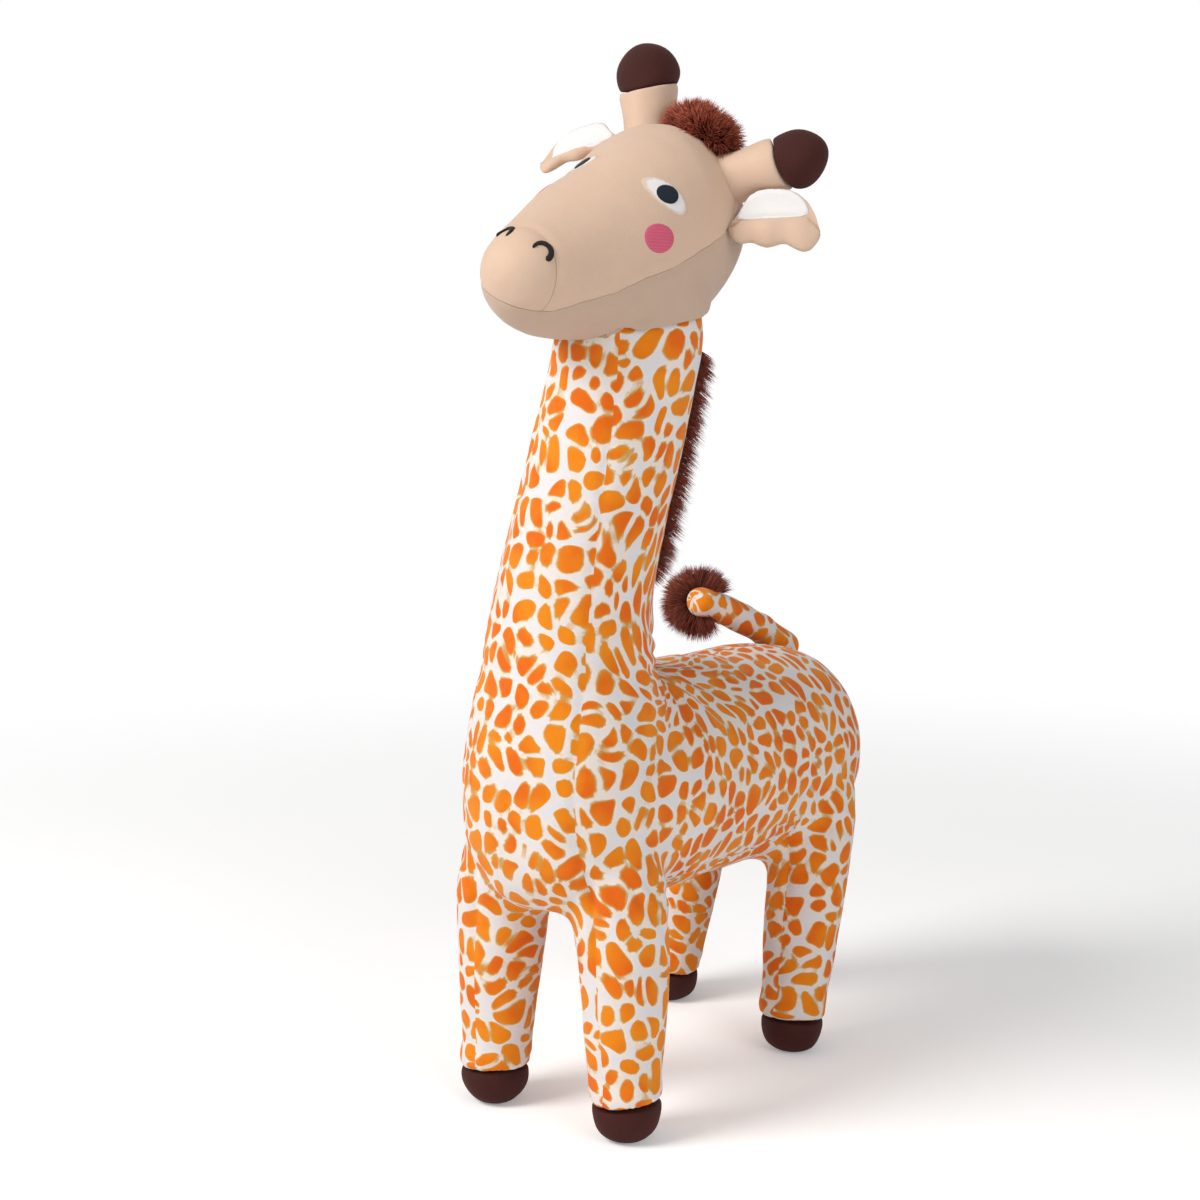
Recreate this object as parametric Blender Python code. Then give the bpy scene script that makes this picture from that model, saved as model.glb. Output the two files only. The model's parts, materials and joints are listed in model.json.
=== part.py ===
"""Stuffed toy giraffe, standing, its neck leaning and its head tilted to its left.

The giraffe faces -Y and its left side is +X. The origin is on the floor under the middle of the toy.
"""

import math

import bmesh
import bpy
from mathutils import Matrix, Vector

# Clearances and cutters, in metres
GAP = 0.0003
OVERRUN = 0.02
BLOCK_SIZE = 0.4

# Torso, an egg that lies along Y, with a deep chest that rises into the neck
TORSO_LENGTH = 0.360
TORSO_WIDTH = 0.144
TORSO_HEIGHT = 0.152
TORSO_FRONT_Y = -0.150
TORSO_MID_Z = 0.206
TORSO_REAR_DROP = 0.010
CHEST_WIDTH = 0.134
CHEST_DEPTH = 0.132
CHEST_BOTTOM_DROP = 0.072
CHEST_RISE = 0.086
CHEST_Y = -0.087

# Neck, which leans to the left above its base, between two round ends
NECK_BASE_WIDTH = 0.105
NECK_BASE_DEPTH = 0.111
NECK_TOP_WIDTH = 0.089
NECK_TOP_DEPTH = 0.091
NECK_BASE_RISE = 0.106
NECK_LENGTH = 0.180
NECK_LEAN_X = 0.040
NECK_LEAN_Y = 0.008
NECK_BASE_ROUND = 0.0095
NECK_TOP_ROUND = 0.0008
NECK_SEAT_DROP = 0.028

# Legs, each with a hoof cap that has a small flat sole
LEG_FOOT_WIDTH = 0.0435
FRONT_LEG_TOP_WIDTH = 0.061
HIND_LEG_TOP_WIDTH = 0.061
LEG_TOP_DROP = 0.006
LEG_TUCK = 0.014
HOOF_HEIGHT = 0.023
SOLE_WIDTH = 0.020
LEFT_FRONT_FOOT_X = 0.0535
RIGHT_FRONT_FOOT_X = 0.051
FRONT_FOOT_Y = -0.099
FRONT_LEG_TOP_X = 0.043
FRONT_LEG_TOP_Y = -0.094
LEFT_HIND_FOOT_X = 0.057
RIGHT_HIND_FOOT_X = 0.072
HIND_LEG_TOP_X = 0.048
LEFT_HIND_FOOT_Y = 0.094
RIGHT_HIND_FOOT_Y = 0.131
HIND_LEG_TOP_Y = 0.147

# Head, an egg that narrows to the muzzle
HEAD_LENGTH = 0.1886
CRANIUM_WIDTH = 0.1146
CRANIUM_HEIGHT = 0.1288
MUZZLE_WIDTH = 0.0804
MUZZLE_HEIGHT = 0.0808
MUZZLE_DROP = 0.0298
CRANIUM_LIFT = 0.0047
HEAD_OFFSET_X = 0.0012
HEAD_OFFSET_Y = -0.0168
HEAD_OFFSET_Z = 0.0564
HEAD_YAW = math.radians(1)
HEAD_TILT = math.radians(24.9)
HEAD_PITCH = math.radians(-1.6)
MUZZLE_SEAM_DEPTH = 0.0185
JAW_SEAM_SLOPE = math.radians(34)
JAW_SEAM_HEIGHT = 0.008
NOD_RANGE = math.radians(12)
NOD_STEP = math.radians(4)

# Embroidered and sewn face pieces, which lie on the head
PATCH_THICKNESS = 0.0008
EYE_Y = -0.0112
EYE_ANGLE = math.radians(38)
EYE_WHITE_LENGTH = 0.027
EYE_WHITE_WIDTH = 0.0145
EYE_WHITE_TURN = math.radians(28)
PUPIL_LENGTH = 0.0120
PUPIL_WIDTH = 0.0100
CHEEK_Y = -0.0203
CHEEK_ANGLE = math.radians(61)
CHEEK_DIAMETER = 0.0160
NOSTRIL_Y = -0.0830
NOSTRIL_ANGLE = math.radians(36)
NOSTRIL_SPAN = 0.0130
NOSTRIL_STROKE = 0.0036
NOSTRIL_SWEEP = math.radians(215)
NOSTRIL_TURN = math.radians(14)

# Horns
HORN_Y = 0.0458
HORN_ANGLE = math.radians(36.7)
LEFT_HORN_SPLAY = math.radians(52)
LEFT_HORN_BACK = math.radians(6)
RIGHT_HORN_SPLAY = math.radians(37)
RIGHT_HORN_BACK = math.radians(15)
HORN_LENGTH = 0.061
HORN_TIP_HEIGHT = 0.028
HORN_BASE_WIDTH = 0.030
HORN_TOP_WIDTH = 0.033
HORN_TIP_WIDTH = 0.037

# Ears
EAR_LENGTH = 0.047
EAR_WIDTH = 0.035
EAR_ROOT_WIDTH = 0.012
EAR_THICKNESS = 0.009
EAR_Y = 0.033
LEFT_EAR_ANGLE = math.radians(66)
RIGHT_EAR_ANGLE = math.radians(56)
LEFT_EAR_AIM = (0.93, 0.36, 0.03)
LEFT_EAR_FACE = (0.36, -0.92, 0.16)
RIGHT_EAR_AIM = (-0.98, -0.05, -0.18)
RIGHT_EAR_FACE = (-0.10, -0.71, 0.70)
LINING_LENGTH = 0.036
LINING_WIDTH = 0.022
LINING_REACH = 0.027

# Fur pieces: the mane, the forelock and the tail's tuft
MANE_WIDTH = 0.046
MANE_HEIGHT = 0.027
MANE_LENGTH = 0.135
MANE_TOP_DROP = 0.016
FORELOCK_WIDTH = 0.050
FORELOCK_DEPTH = 0.034
FORELOCK_HEIGHT = 0.034
FORELOCK_Y = 0.044
FORELOCK_LIFT = 0.004
FORELOCK_ANGLE = math.radians(3)
TUFT_WIDTH = 0.045
TUFT_OFFSET = 0.008

# Tail, a stuffed tube that stands up from the rump and leans over the back
TAIL_WIDTH = 0.019
TAIL_ROOT_GAP = 0.0008
TAIL_ROOT_X = -0.012
TAIL_ROOT_Y = 0.190
TAIL_REACH_X = -0.016
TAIL_REACH_Y = -0.089
TAIL_REACH_Z = 0.041
TAIL_ARCH = 0.004

# How finely round forms are drawn
TORSO_SIDES = 28
HEAD_SIDES = 32
LIMB_SIDES = 20
SMALL_SIDES = 16
ROW_COUNT = 2

# Shares along a form, and its half width and half height there
TORSO_SHARES = (
    (0.000, 0.10, 0.12),
    (0.014, 0.36, 0.42),
    (0.051, 0.62, 0.74),
    (0.119, 0.83, 0.89),
    (0.227, 0.97, 0.97),
    (0.369, 1.00, 0.99),
    (0.540, 1.00, 0.99),
    (0.696, 1.00, 1.00),
    (0.810, 0.97, 0.98),
    (0.900, 0.89, 0.92),
    (0.955, 0.71, 0.77),
    (0.986, 0.46, 0.52),
    (1.000, 0.12, 0.14),
)
CHEST_SHARES = (
    (0.000, 0.18, 0.18),
    (0.035, 0.52, 0.48),
    (0.100, 0.78, 0.72),
    (0.220, 0.94, 0.90),
    (0.400, 1.00, 0.99),
    (0.600, 0.98, 1.00),
    (0.800, 0.89, 0.93),
    (1.000, 0.79, 0.85),
)
NECK_SHARES = (
    (0.00, 0.02, 0.77),
    (0.08, 0.05, 0.61),
    (0.36, 0.33, 0.35),
    (0.67, 0.69, 0.17),
    (1.00, 1.00, 0.00),
)
LEG_SHARES = (
    (0.00, 0.02, 0.00),
    (0.25, 0.46, 0.00),
    (0.50, 0.78, 0.00),
    (0.68, 0.97, 0.05),
    (0.84, 1.00, 0.35),
    (1.00, 0.85, 1.00),
)
HOOF_SHARES = (
    (0.00, 0.00),
    (0.10, 0.42),
    (0.28, 0.78),
    (0.58, 0.97),
    (1.00, 1.00),
)
HEAD_SHARES = (
    (0.000, 0.10),
    (0.012, 0.26),
    (0.040, 0.46),
    (0.090, 0.66),
    (0.200, 0.88),
    (0.350, 0.98),
    (0.500, 1.00),
    (0.650, 1.00),
    (0.800, 0.90),
    (0.910, 0.66),
    (0.965, 0.43),
    (0.990, 0.24),
    (1.000, 0.10),
)
MUZZLE_BLEND_SHARES = (0.10, 0.65)
EAR_SHARES = (
    (0.00, 0.00, 0.80),
    (0.14, 0.30, 1.00),
    (0.36, 0.88, 1.00),
    (0.58, 1.00, 1.00),
    (0.80, 0.78, 0.90),
    (0.93, 0.42, 0.64),
    (1.00, 0.12, 0.24),
)
HORN_TIP_SHARES = (
    (0.00, 0.92),
    (0.14, 1.00),
    (0.36, 0.98),
    (0.60, 0.84),
    (0.82, 0.58),
    (0.95, 0.30),
    (1.00, 0.10),
)
MANE_SHARES = (
    (0.00, 0.20),
    (0.06, 0.66),
    (0.18, 0.94),
    (0.50, 1.00),
    (0.82, 0.94),
    (0.94, 0.66),
    (1.00, 0.20),
)
TAIL_SHARES = (0.000, 0.125, 0.250, 0.375, 0.500, 0.625, 0.750, 0.875, 1.000)
DOME_SHARES = (0.18, 0.36, 0.54, 0.72, 0.88)

# Which pieces reach the furthest to each side, and which ones turn with the head
OUTERMOST_NODES = (
    "left_ear", "right_ear", "left_horn_tip", "right_horn_tip", "muzzle", "torso", "tail",
    "front_left_hoof", "front_right_hoof", "hind_left_hoof", "hind_right_hoof",
)
HEAD_NODES = (
    "head", "jaw", "muzzle", "forelock",
    "left_horn", "left_horn_tip", "right_horn", "right_horn_tip",
    "left_eye", "left_pupil", "left_cheek", "left_nostril",
    "right_eye", "right_pupil", "right_cheek", "right_nostril",
)

COLOURS = {
    "printed cloth": (0.86, 0.62, 0.40),
    "tan cloth": (0.80, 0.62, 0.48),
    "underside cloth": (0.58, 0.42, 0.34),
    "brown cloth": (0.075, 0.024, 0.018),
    "fur": (0.12, 0.035, 0.020),
    "white cloth": (0.86, 0.84, 0.83),
    "dark thread": (0.012, 0.020, 0.035),
    "pink thread": (0.76, 0.10, 0.22),
}


def clear_scene():
    """Remove whatever the file opened with."""
    for item in list(bpy.data.objects):
        bpy.data.objects.remove(item, do_unlink=True)


def cloth(name):
    """The named matt cloth, fur or thread."""
    made = bpy.data.materials.get(name)
    if made:
        return made
    made = bpy.data.materials.new(name)
    made.use_nodes = True
    shader = made.node_tree.nodes["Principled BSDF"]
    shader.inputs["Base Color"].default_value = (*COLOURS[name], 1)
    shader.inputs["Roughness"].default_value = 0.9
    shader.inputs["Metallic"].default_value = 0
    return made


def smooth_rows(rows):
    """Rows of numbers with others between them, read from a smooth curve through them all."""
    out = []
    last = len(rows) - 1
    for i in range(last):
        before, start = rows[max(i - 1, 0)], rows[i]
        end, after = rows[i + 1], rows[min(i + 2, last)]
        for k in range(ROW_COUNT):
            t = k / ROW_COUNT
            out.append(tuple(hermite(b, s, e, a, t) for b, s, e, a in zip(before, start, end, after)))
    out.append(tuple(rows[last]))
    return out


def row_at(rows, share):
    """A table's row at a share, read between the smooth rows on either side of it."""
    rows = smooth_rows(rows)
    for low, high in zip(rows, rows[1:]):
        if share <= high[0]:
            t = (share - low[0]) / (high[0] - low[0])
            return tuple(a * (1 - t) + b * t for a, b in zip(low, high))
    return rows[-1]


def hermite(before, start, end, after, t):
    """A value on the curve from start to end, with slopes from their neighbours."""
    leave = (end - before) / 2
    arrive = (after - start) / 2
    rise = t * t * (3 - 2 * t)
    return (
        start * (1 - rise) + end * rise
        + leave * t * (1 - t) ** 2 - arrive * t * t * (1 - t)
    )


def turned(forward, up):
    """A rotation whose Z looks along forward and whose Y leans to up."""
    z = Vector(forward).normalized()
    x = Vector(up).cross(z).normalized()
    y = z.cross(x)
    return Matrix((x, y, z)).transposed()


def ring(centre, turn, half_width, half_height):
    """Where a unit circle goes to become one cross-section of a form."""
    size = Matrix.Diagonal((half_width, half_height, 1)).to_4x4()
    return Matrix.Translation(centre) @ turn.to_4x4() @ size


def loft(name, rings, sides):
    """A closed skin over the rings, bridged one to the next, with a face on each end."""
    bm = bmesh.new()
    loops = []
    for i, place in enumerate(rings):
        ended = i in (0, len(rings) - 1)
        made = bmesh.ops.create_circle(bm, cap_ends=ended, radius=1, segments=sides, matrix=place)
        verts = set(made["verts"])
        loops.append([e for e in bm.edges if e.verts[0] in verts and e.verts[1] in verts])
    for lower, upper in zip(loops, loops[1:]):
        bmesh.ops.bridge_loops(bm, edges=lower + upper)
    bmesh.ops.recalc_face_normals(bm, faces=bm.faces)
    mesh = bpy.data.meshes.new(name)
    bm.to_mesh(mesh)
    bm.free()
    return mesh


def make(name, mesh, material=None, hidden=False):
    """An object for the mesh: a piece of the toy, or a hidden cutter."""
    item = bpy.data.objects.new(name, mesh)
    bpy.context.scene.collection.objects.link(item)
    mesh.shade_smooth()
    if material:
        mesh.materials.append(cloth(material))
    if hidden:
        item.hide_render = True
        item.display_type = "WIRE"
    return item


def cutter(name, mesh):
    """A hidden object that only shapes others."""
    return make(name, mesh, hidden=True)


def boolean(item, other, operation):
    """Cut, join or limit item by other."""
    step = item.modifiers.new(f"{operation.lower()} {other.name}", "BOOLEAN")
    step.operation = operation
    step.solver = "EXACT"
    step.object = other


def cut(item, *others):
    """Take each other shape away from item."""
    for other in others:
        boolean(item, other, "DIFFERENCE")


def keep(item, *others):
    """Keep what of item lies in each other shape."""
    for other in others:
        boolean(item, other, "INTERSECT")


def ball(name, centre, radius, sides=HEAD_SIDES):
    """A hidden ball whose flats, not its corners, are the radius away from its centre."""
    bm = bmesh.new()
    place = Matrix.Translation(centre)
    corner = radius / math.cos(math.pi / sides) ** 2
    bmesh.ops.create_uvsphere(bm, u_segments=sides, v_segments=sides // 2, radius=corner, matrix=place)
    mesh = bpy.data.meshes.new(name)
    bm.to_mesh(mesh)
    bm.free()
    return cutter(name, mesh)


def half_space(name, point, out):
    """A hidden block with one face at the point, lying on the side that out points to."""
    turn = turned(out, (1, 0, 0))
    bm = bmesh.new()
    place = Matrix.Translation(point + Vector(out).normalized() * BLOCK_SIZE / 2) @ turn.to_4x4()
    bmesh.ops.create_cube(bm, size=BLOCK_SIZE, matrix=place)
    mesh = bpy.data.meshes.new(name)
    bm.to_mesh(mesh)
    bm.free()
    return cutter(name, mesh)


ALONG_Y = Matrix(((1, 0, 0), (0, 0, 1), (0, 1, 0)))
UPRIGHT = Matrix.Identity(3)


def torso_rings(grow=0):
    """The torso's rings from front to rear, its middle line sinking a little to the rear."""
    rings = []
    for share, wide, high in smooth_rows(TORSO_SHARES):
        y = TORSO_FRONT_Y + TORSO_LENGTH * share + grow * (2 * share - 1)
        centre = Vector((0, y, TORSO_MID_Z - TORSO_REAR_DROP * share * share))
        rings.append(ring(centre, ALONG_Y, TORSO_WIDTH / 2 * wide + grow, TORSO_HEIGHT / 2 * high + grow))
    return rings


def back_point(x, y):
    """The point on the torso's top at x and y."""
    share = (y - TORSO_FRONT_Y) / TORSO_LENGTH
    _, wide, high = row_at(TORSO_SHARES, share)
    across = x / (TORSO_WIDTH / 2 * wide)
    rise = TORSO_HEIGHT / 2 * high * math.sqrt(max(1 - across * across, 0))
    return Vector((x, y, TORSO_MID_Z - TORSO_REAR_DROP * share * share + rise))


def chest_rings(grow=0):
    """The chest, from between the front legs up to the neck's base."""
    bottom = TORSO_MID_Z - CHEST_BOTTOM_DROP
    top = TORSO_MID_Z + CHEST_RISE
    rings = []
    for share, wide, deep in smooth_rows(CHEST_SHARES):
        z = bottom + (top - bottom) * share + grow * (2 * share - 1)
        centre = Vector((0, CHEST_Y, z))
        rings.append(ring(centre, UPRIGHT, CHEST_WIDTH / 2 * wide + grow, CHEST_DEPTH / 2 * deep + grow))
    return rings


def neck_base():
    """The point that the neck turns about, inside its lower round end."""
    return Vector((0, CHEST_Y, TORSO_MID_Z + NECK_BASE_RISE))


def neck_top():
    """The point that the head turns about, inside the neck's upper round end."""
    return neck_base() + Vector((NECK_LEAN_X, NECK_LEAN_Y, NECK_LENGTH))


def neck_base_radius():
    return max(NECK_BASE_WIDTH, NECK_BASE_DEPTH) / 2 + NECK_BASE_ROUND


def neck_top_radius():
    return max(NECK_TOP_WIDTH, NECK_TOP_DEPTH) / 2 + NECK_TOP_ROUND


def neck_row(share, lean, taper):
    """The neck's centre, half width and half depth at a share of its height."""
    base = neck_base()
    centre = base + Vector((NECK_LEAN_X * lean, NECK_LEAN_Y * lean, NECK_LENGTH * share))
    half_width = (NECK_TOP_WIDTH + (NECK_BASE_WIDTH - NECK_TOP_WIDTH) * taper) / 2
    half_depth = (NECK_TOP_DEPTH + (NECK_BASE_DEPTH - NECK_TOP_DEPTH) * taper) / 2
    return centre, half_width, half_depth


def neck_rings(grow=0):
    """The neck's sides between the domes that seat it in the chest and in the head."""
    base, radius = neck_base(), neck_base_radius() - GAP
    low_edge = math.asin((NECK_BASE_WIDTH / 2) / radius)
    rings = []
    for share in DOME_SHARES:
        angle = low_edge * share
        out = radius * math.sin(angle)
        rings.append(ring(base - Vector((0, 0, radius * math.cos(angle))), UPRIGHT, out, out))
    centre, half_width, half_depth = neck_row(0, 0, 1)
    rings.append(ring(centre - Vector((0, 0, NECK_SEAT_DROP)), UPRIGHT, half_width + grow, half_depth + grow))
    for share, lean, taper in smooth_rows(NECK_SHARES):
        centre, half_width, half_depth = neck_row(share, lean, taper)
        rings.append(ring(centre, UPRIGHT, half_width + grow, half_depth + grow))
    top, radius = neck_top(), neck_top_radius() - GAP
    high_edge = math.asin((NECK_TOP_WIDTH / 2) / radius)
    for share in reversed(DOME_SHARES):
        angle = high_edge * share
        out = radius * math.sin(angle)
        rings.append(ring(top + Vector((0, 0, radius * math.cos(angle))), UPRIGHT, out, out))
    return rings


def build_torso():
    """The torso and chest as one stuffed form, with a seat for the neck's round end."""
    torso = make("torso", loft("torso", torso_rings(), TORSO_SIDES), "printed cloth")
    chest = cutter("chest form", loft("chest form", chest_rings(), TORSO_SIDES))
    boolean(torso, chest, "UNION")
    cut(torso, ball("neck seat", neck_base(), neck_base_radius()))
    return torso


def leg_places():
    """Each leg's name, foot centre, top centre and top width."""
    top_z = TORSO_MID_Z - LEG_TOP_DROP
    places = []
    for side, sign, x in (("left", 1, LEFT_FRONT_FOOT_X), ("right", -1, RIGHT_FRONT_FOOT_X)):
        foot = Vector((sign * x, FRONT_FOOT_Y, 0))
        top = Vector((sign * FRONT_LEG_TOP_X, FRONT_LEG_TOP_Y, top_z))
        places.append((f"front_{side}", foot, top, FRONT_LEG_TOP_WIDTH))
    hind_feet = (
        ("left", 1, LEFT_HIND_FOOT_X, LEFT_HIND_FOOT_Y),
        ("right", -1, RIGHT_HIND_FOOT_X, RIGHT_HIND_FOOT_Y),
    )
    for side, sign, x, y in hind_feet:
        foot = Vector((sign * x, y, 0))
        top = Vector((sign * HIND_LEG_TOP_X, HIND_LEG_TOP_Y, top_z))
        places.append((f"hind_{side}", foot, top, HIND_LEG_TOP_WIDTH))
    return places


def build_legs():
    """Four tapered legs cut by the torso, each standing on its hoof cap."""
    grown = cutter("torso clearance", loft("torso clearance", torso_rings(GAP), TORSO_SIDES))
    grown_chest = cutter("chest clearance", loft("chest clearance", chest_rings(GAP), TORSO_SIDES))
    for name, foot, top, top_width in leg_places():
        rings = []
        start = foot + Vector((0, 0, HOOF_HEIGHT + GAP))
        inward = Vector((math.copysign(LEG_TUCK, -foot.x), 0, 0))
        for share, swell, tuck in smooth_rows(LEG_SHARES):
            centre = start.lerp(top, share) + inward * tuck
            half = (LEG_FOOT_WIDTH + (top_width - LEG_FOOT_WIDTH) * swell) / 2
            rings.append(ring(centre, UPRIGHT, half, half))
        leg = make(f"{name}_leg", loft(name, rings, LIMB_SIDES), "printed cloth")
        cut(leg, grown, grown_chest)
        rings = []
        for share, swell in smooth_rows(HOOF_SHARES):
            half = (SOLE_WIDTH + (LEG_FOOT_WIDTH - SOLE_WIDTH) * swell) / 2
            rings.append(ring(foot + Vector((0, 0, HOOF_HEIGHT * share)), UPRIGHT, half, half))
        make(f"{name}_hoof", loft(name, rings, LIMB_SIDES), "brown cloth")


def build_neck():
    """The neck with a round end at each joint, and the fur strip sewn down its back."""
    make("neck", loft("neck", neck_rings(), TORSO_SIDES), "printed cloth")
    grown = cutter("neck clearance", loft("neck clearance", neck_rings(GAP), TORSO_SIDES))
    rings = []
    for along, swell in smooth_rows(MANE_SHARES):
        share = 1 - (MANE_TOP_DROP + MANE_LENGTH * along) / NECK_LENGTH
        centre, _, half_depth = neck_row(*row_at(NECK_SHARES, share))
        centre = centre + Vector((0, half_depth, 0))
        rings.append(ring(centre, UPRIGHT, MANE_WIDTH / 2 * swell, MANE_HEIGHT * swell))
    mane = make("mane", loft("mane", rings, SMALL_SIDES), "fur")
    cut(mane, grown)


def head_turn():
    """The head's rotation: tilted to its left, with a little yaw and pitch."""
    yaw = Matrix.Rotation(HEAD_YAW, 3, "Z")
    tilt = Matrix.Rotation(HEAD_TILT, 3, "Y")
    return yaw @ tilt @ Matrix.Rotation(HEAD_PITCH, 3, "X")


def head_centre():
    return neck_top() + Vector((HEAD_OFFSET_X, HEAD_OFFSET_Y, HEAD_OFFSET_Z))


def head_point(x, y, z):
    """A point given in the head's own frame, in the toy's frame."""
    return head_centre() + head_turn() @ Vector((x, y, z))


def head_row(share):
    """How much of the cranium's size, and of its place, the head has at a share of its length."""
    start, end = MUZZLE_BLEND_SHARES
    t = min(max((share - start) / (end - start), 0), 1)
    return t * t * (3 - 2 * t)


def head_section(share, swell, grow=0):
    """The head's centre height, half width and half height at a share of its length."""
    blend = head_row(share)
    half_width = (MUZZLE_WIDTH + (CRANIUM_WIDTH - MUZZLE_WIDTH) * blend) / 2 * swell + grow
    half_height = (MUZZLE_HEIGHT + (CRANIUM_HEIGHT - MUZZLE_HEIGHT) * blend) / 2 * swell + grow
    lift = -MUZZLE_DROP + (CRANIUM_LIFT + MUZZLE_DROP) * blend
    return lift, half_width, half_height


def head_rings(grow=0):
    turn = head_turn() @ ALONG_Y
    rings = []
    for share, swell in smooth_rows(HEAD_SHARES):
        lift, half_width, half_height = head_section(share, swell, grow)
        y = (share - 1 / 2) * (HEAD_LENGTH + 2 * grow)
        rings.append(ring(head_point(0, y, lift), turn, half_width, half_height))
    return rings


def on_head(y, angle, side, out=0):
    """A point on the head at y, angle round from its top, and the outward direction there."""
    share = y / HEAD_LENGTH + 1 / 2
    lift, half_width, half_height = head_section(*row_at(HEAD_SHARES, share))
    across = Vector((math.sin(angle) / half_width, 0, math.cos(angle) / half_height)).normalized()
    across.x *= side
    point = Vector((side * half_width * math.sin(angle), y, lift + half_height * math.cos(angle)))
    return head_centre() + head_turn() @ (point + across * out), head_turn() @ across


def nodded_neck(angle):
    """The neck with its clearance, as the head meets it when it has nodded so far."""
    nod = Matrix.Rotation(angle, 4, head_turn() @ Vector((1, 0, 0)))
    turn = Matrix.Translation(neck_top()) @ nod @ Matrix.Translation(-neck_top())
    return [turn @ place for place in neck_rings(GAP)]


def nod_clearance():
    """Hidden copies of the neck over the whole nod, to cut out of the jaw."""
    steps = round(NOD_RANGE / NOD_STEP)
    names = {f"nod clearance {step}": step * NOD_STEP for step in range(-steps, steps + 1)}
    return [cutter(name, loft(name, nodded_neck(angle), TORSO_SIDES)) for name, angle in names.items()]


def build_head():
    """The head in three sewn panels: the top and cheeks, the jaw and the front of the muzzle."""
    turn = head_turn()
    head = make("head", loft("head", head_rings(), HEAD_SIDES), "tan cloth")
    jaw = make("jaw", loft("jaw", head_rings(), HEAD_SIDES), "underside cloth")
    muzzle = make("muzzle", loft("muzzle", head_rings(), HEAD_SIDES), "tan cloth")
    down = turn @ Vector((0, math.sin(JAW_SEAM_SLOPE), -math.cos(JAW_SEAM_SLOPE)))
    seam = head_point(0, 0, JAW_SEAM_HEIGHT)
    below = half_space("below jaw seam", seam, down)
    above = half_space("above jaw seam", seam - down * GAP, -down)
    front = turn @ Vector((0, -1, 0))
    joint = head_point(0, MUZZLE_SEAM_DEPTH - HEAD_LENGTH / 2, 0)
    before = half_space("before muzzle seam", joint, front)
    behind = half_space("behind muzzle seam", joint - front * GAP, -front)
    keep(jaw, below)
    cut(jaw, ball("head seat", neck_top(), neck_top_radius()), *nod_clearance())
    keep(head, above, behind)
    keep(muzzle, above, before)


def head_shell(name, low, high):
    """Two hidden copies of the head's form: one to keep within, and one to cut away."""
    outer = cutter(f"{name} outer", loft(f"{name} outer", head_rings(high), HEAD_SIDES))
    inner = cutter(f"{name} inner", loft(f"{name} inner", head_rings(low), HEAD_SIDES))
    return outer, inner


def build_patch(name, shape, shell, material):
    """A thin piece that follows the head where the shape crosses its skin."""
    outer, inner = shell
    patch = make(name, shape, material)
    keep(patch, outer)
    cut(patch, inner)


def face_turn(normal, lead):
    """A rotation whose Z leaves the face and whose X runs towards lead."""
    z = normal.normalized()
    y = z.cross(lead).normalized()
    return Matrix((y.cross(z), y, z)).transposed()


def oval_bar(name, centre, turn, long, wide):
    """An oval bar through the face, as a mesh."""
    reach = turn @ Vector((0, 0, long / 2 + wide))
    rings = [ring(centre + reach * way, turn, long / 2, wide / 2) for way in (-1, 1)]
    return loft(name, rings, LIMB_SIDES)


def nostril_arc(name, centre, turn):
    """A bent bar through the muzzle, the shape of an upturned U."""
    bm = bmesh.new()
    half = NOSTRIL_STROKE / 2
    radius = NOSTRIL_SPAN / 2 - half
    reach = NOSTRIL_SPAN
    corners = [bm.verts.new((x, 0, z)) for x, z in (
        (radius - half, -reach), (radius + half, -reach), (radius + half, reach), (radius - half, reach),
    )]
    face = bm.faces.new(corners)
    start = Matrix.Rotation((math.pi - NOSTRIL_SWEEP) / 2, 3, "Z")
    bmesh.ops.rotate(bm, verts=bm.verts, cent=(0, 0, 0), matrix=start)
    swept = bmesh.ops.spin(
        bm, geom=[face], cent=(0, 0, 0), axis=(0, 0, 1), angle=NOSTRIL_SWEEP, steps=LIMB_SIDES // 2,
        use_duplicate=False,
    )
    bmesh.ops.contextual_create(bm, geom=[f for f in swept["geom_last"] if isinstance(f, bmesh.types.BMEdge)])
    bmesh.ops.recalc_face_normals(bm, faces=bm.faces)
    bmesh.ops.transform(bm, matrix=Matrix.Translation(centre) @ turn.to_4x4(), verts=bm.verts)
    mesh = bpy.data.meshes.new(name)
    bm.to_mesh(mesh)
    bm.free()
    return mesh


def build_face():
    """Eyes, cheeks and nostrils on both sides of the head."""
    skin = head_shell("first layer", GAP, GAP + PATCH_THICKNESS)
    raised = GAP + PATCH_THICKNESS
    second = head_shell("second layer", raised + GAP, raised + GAP + PATCH_THICKNESS)
    for side, sign in (("left", 1), ("right", -1)):
        down = head_turn() @ Vector((sign, 0, 0))
        point, normal = on_head(EYE_Y, EYE_ANGLE, sign)
        turn = face_turn(normal, down) @ Matrix.Rotation(sign * EYE_WHITE_TURN, 3, "Z")
        build_patch(f"{side}_eye", oval_bar(f"{side} eye", point, turn, EYE_WHITE_LENGTH, EYE_WHITE_WIDTH),
                    skin, "white cloth")
        build_patch(f"{side}_pupil", oval_bar(f"{side} pupil", point, turn, PUPIL_LENGTH, PUPIL_WIDTH),
                    second, "dark thread")
        point, normal = on_head(CHEEK_Y, CHEEK_ANGLE, sign)
        turn = face_turn(normal, down)
        build_patch(f"{side}_cheek", oval_bar(f"{side} cheek", point, turn, CHEEK_DIAMETER, CHEEK_DIAMETER),
                    skin, "pink thread")
        point, normal = on_head(NOSTRIL_Y, NOSTRIL_ANGLE, sign)
        forward = head_turn() @ Vector((0, -1, 0))
        normal = (normal + forward).normalized()
        across = head_turn() @ Vector((1, 0, 0))
        turn = face_turn(normal, across) @ Matrix.Rotation(-sign * NOSTRIL_TURN, 3, "Z")
        build_patch(f"{side}_nostril", nostril_arc(f"{side} nostril", point, turn), skin, "dark thread")


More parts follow.
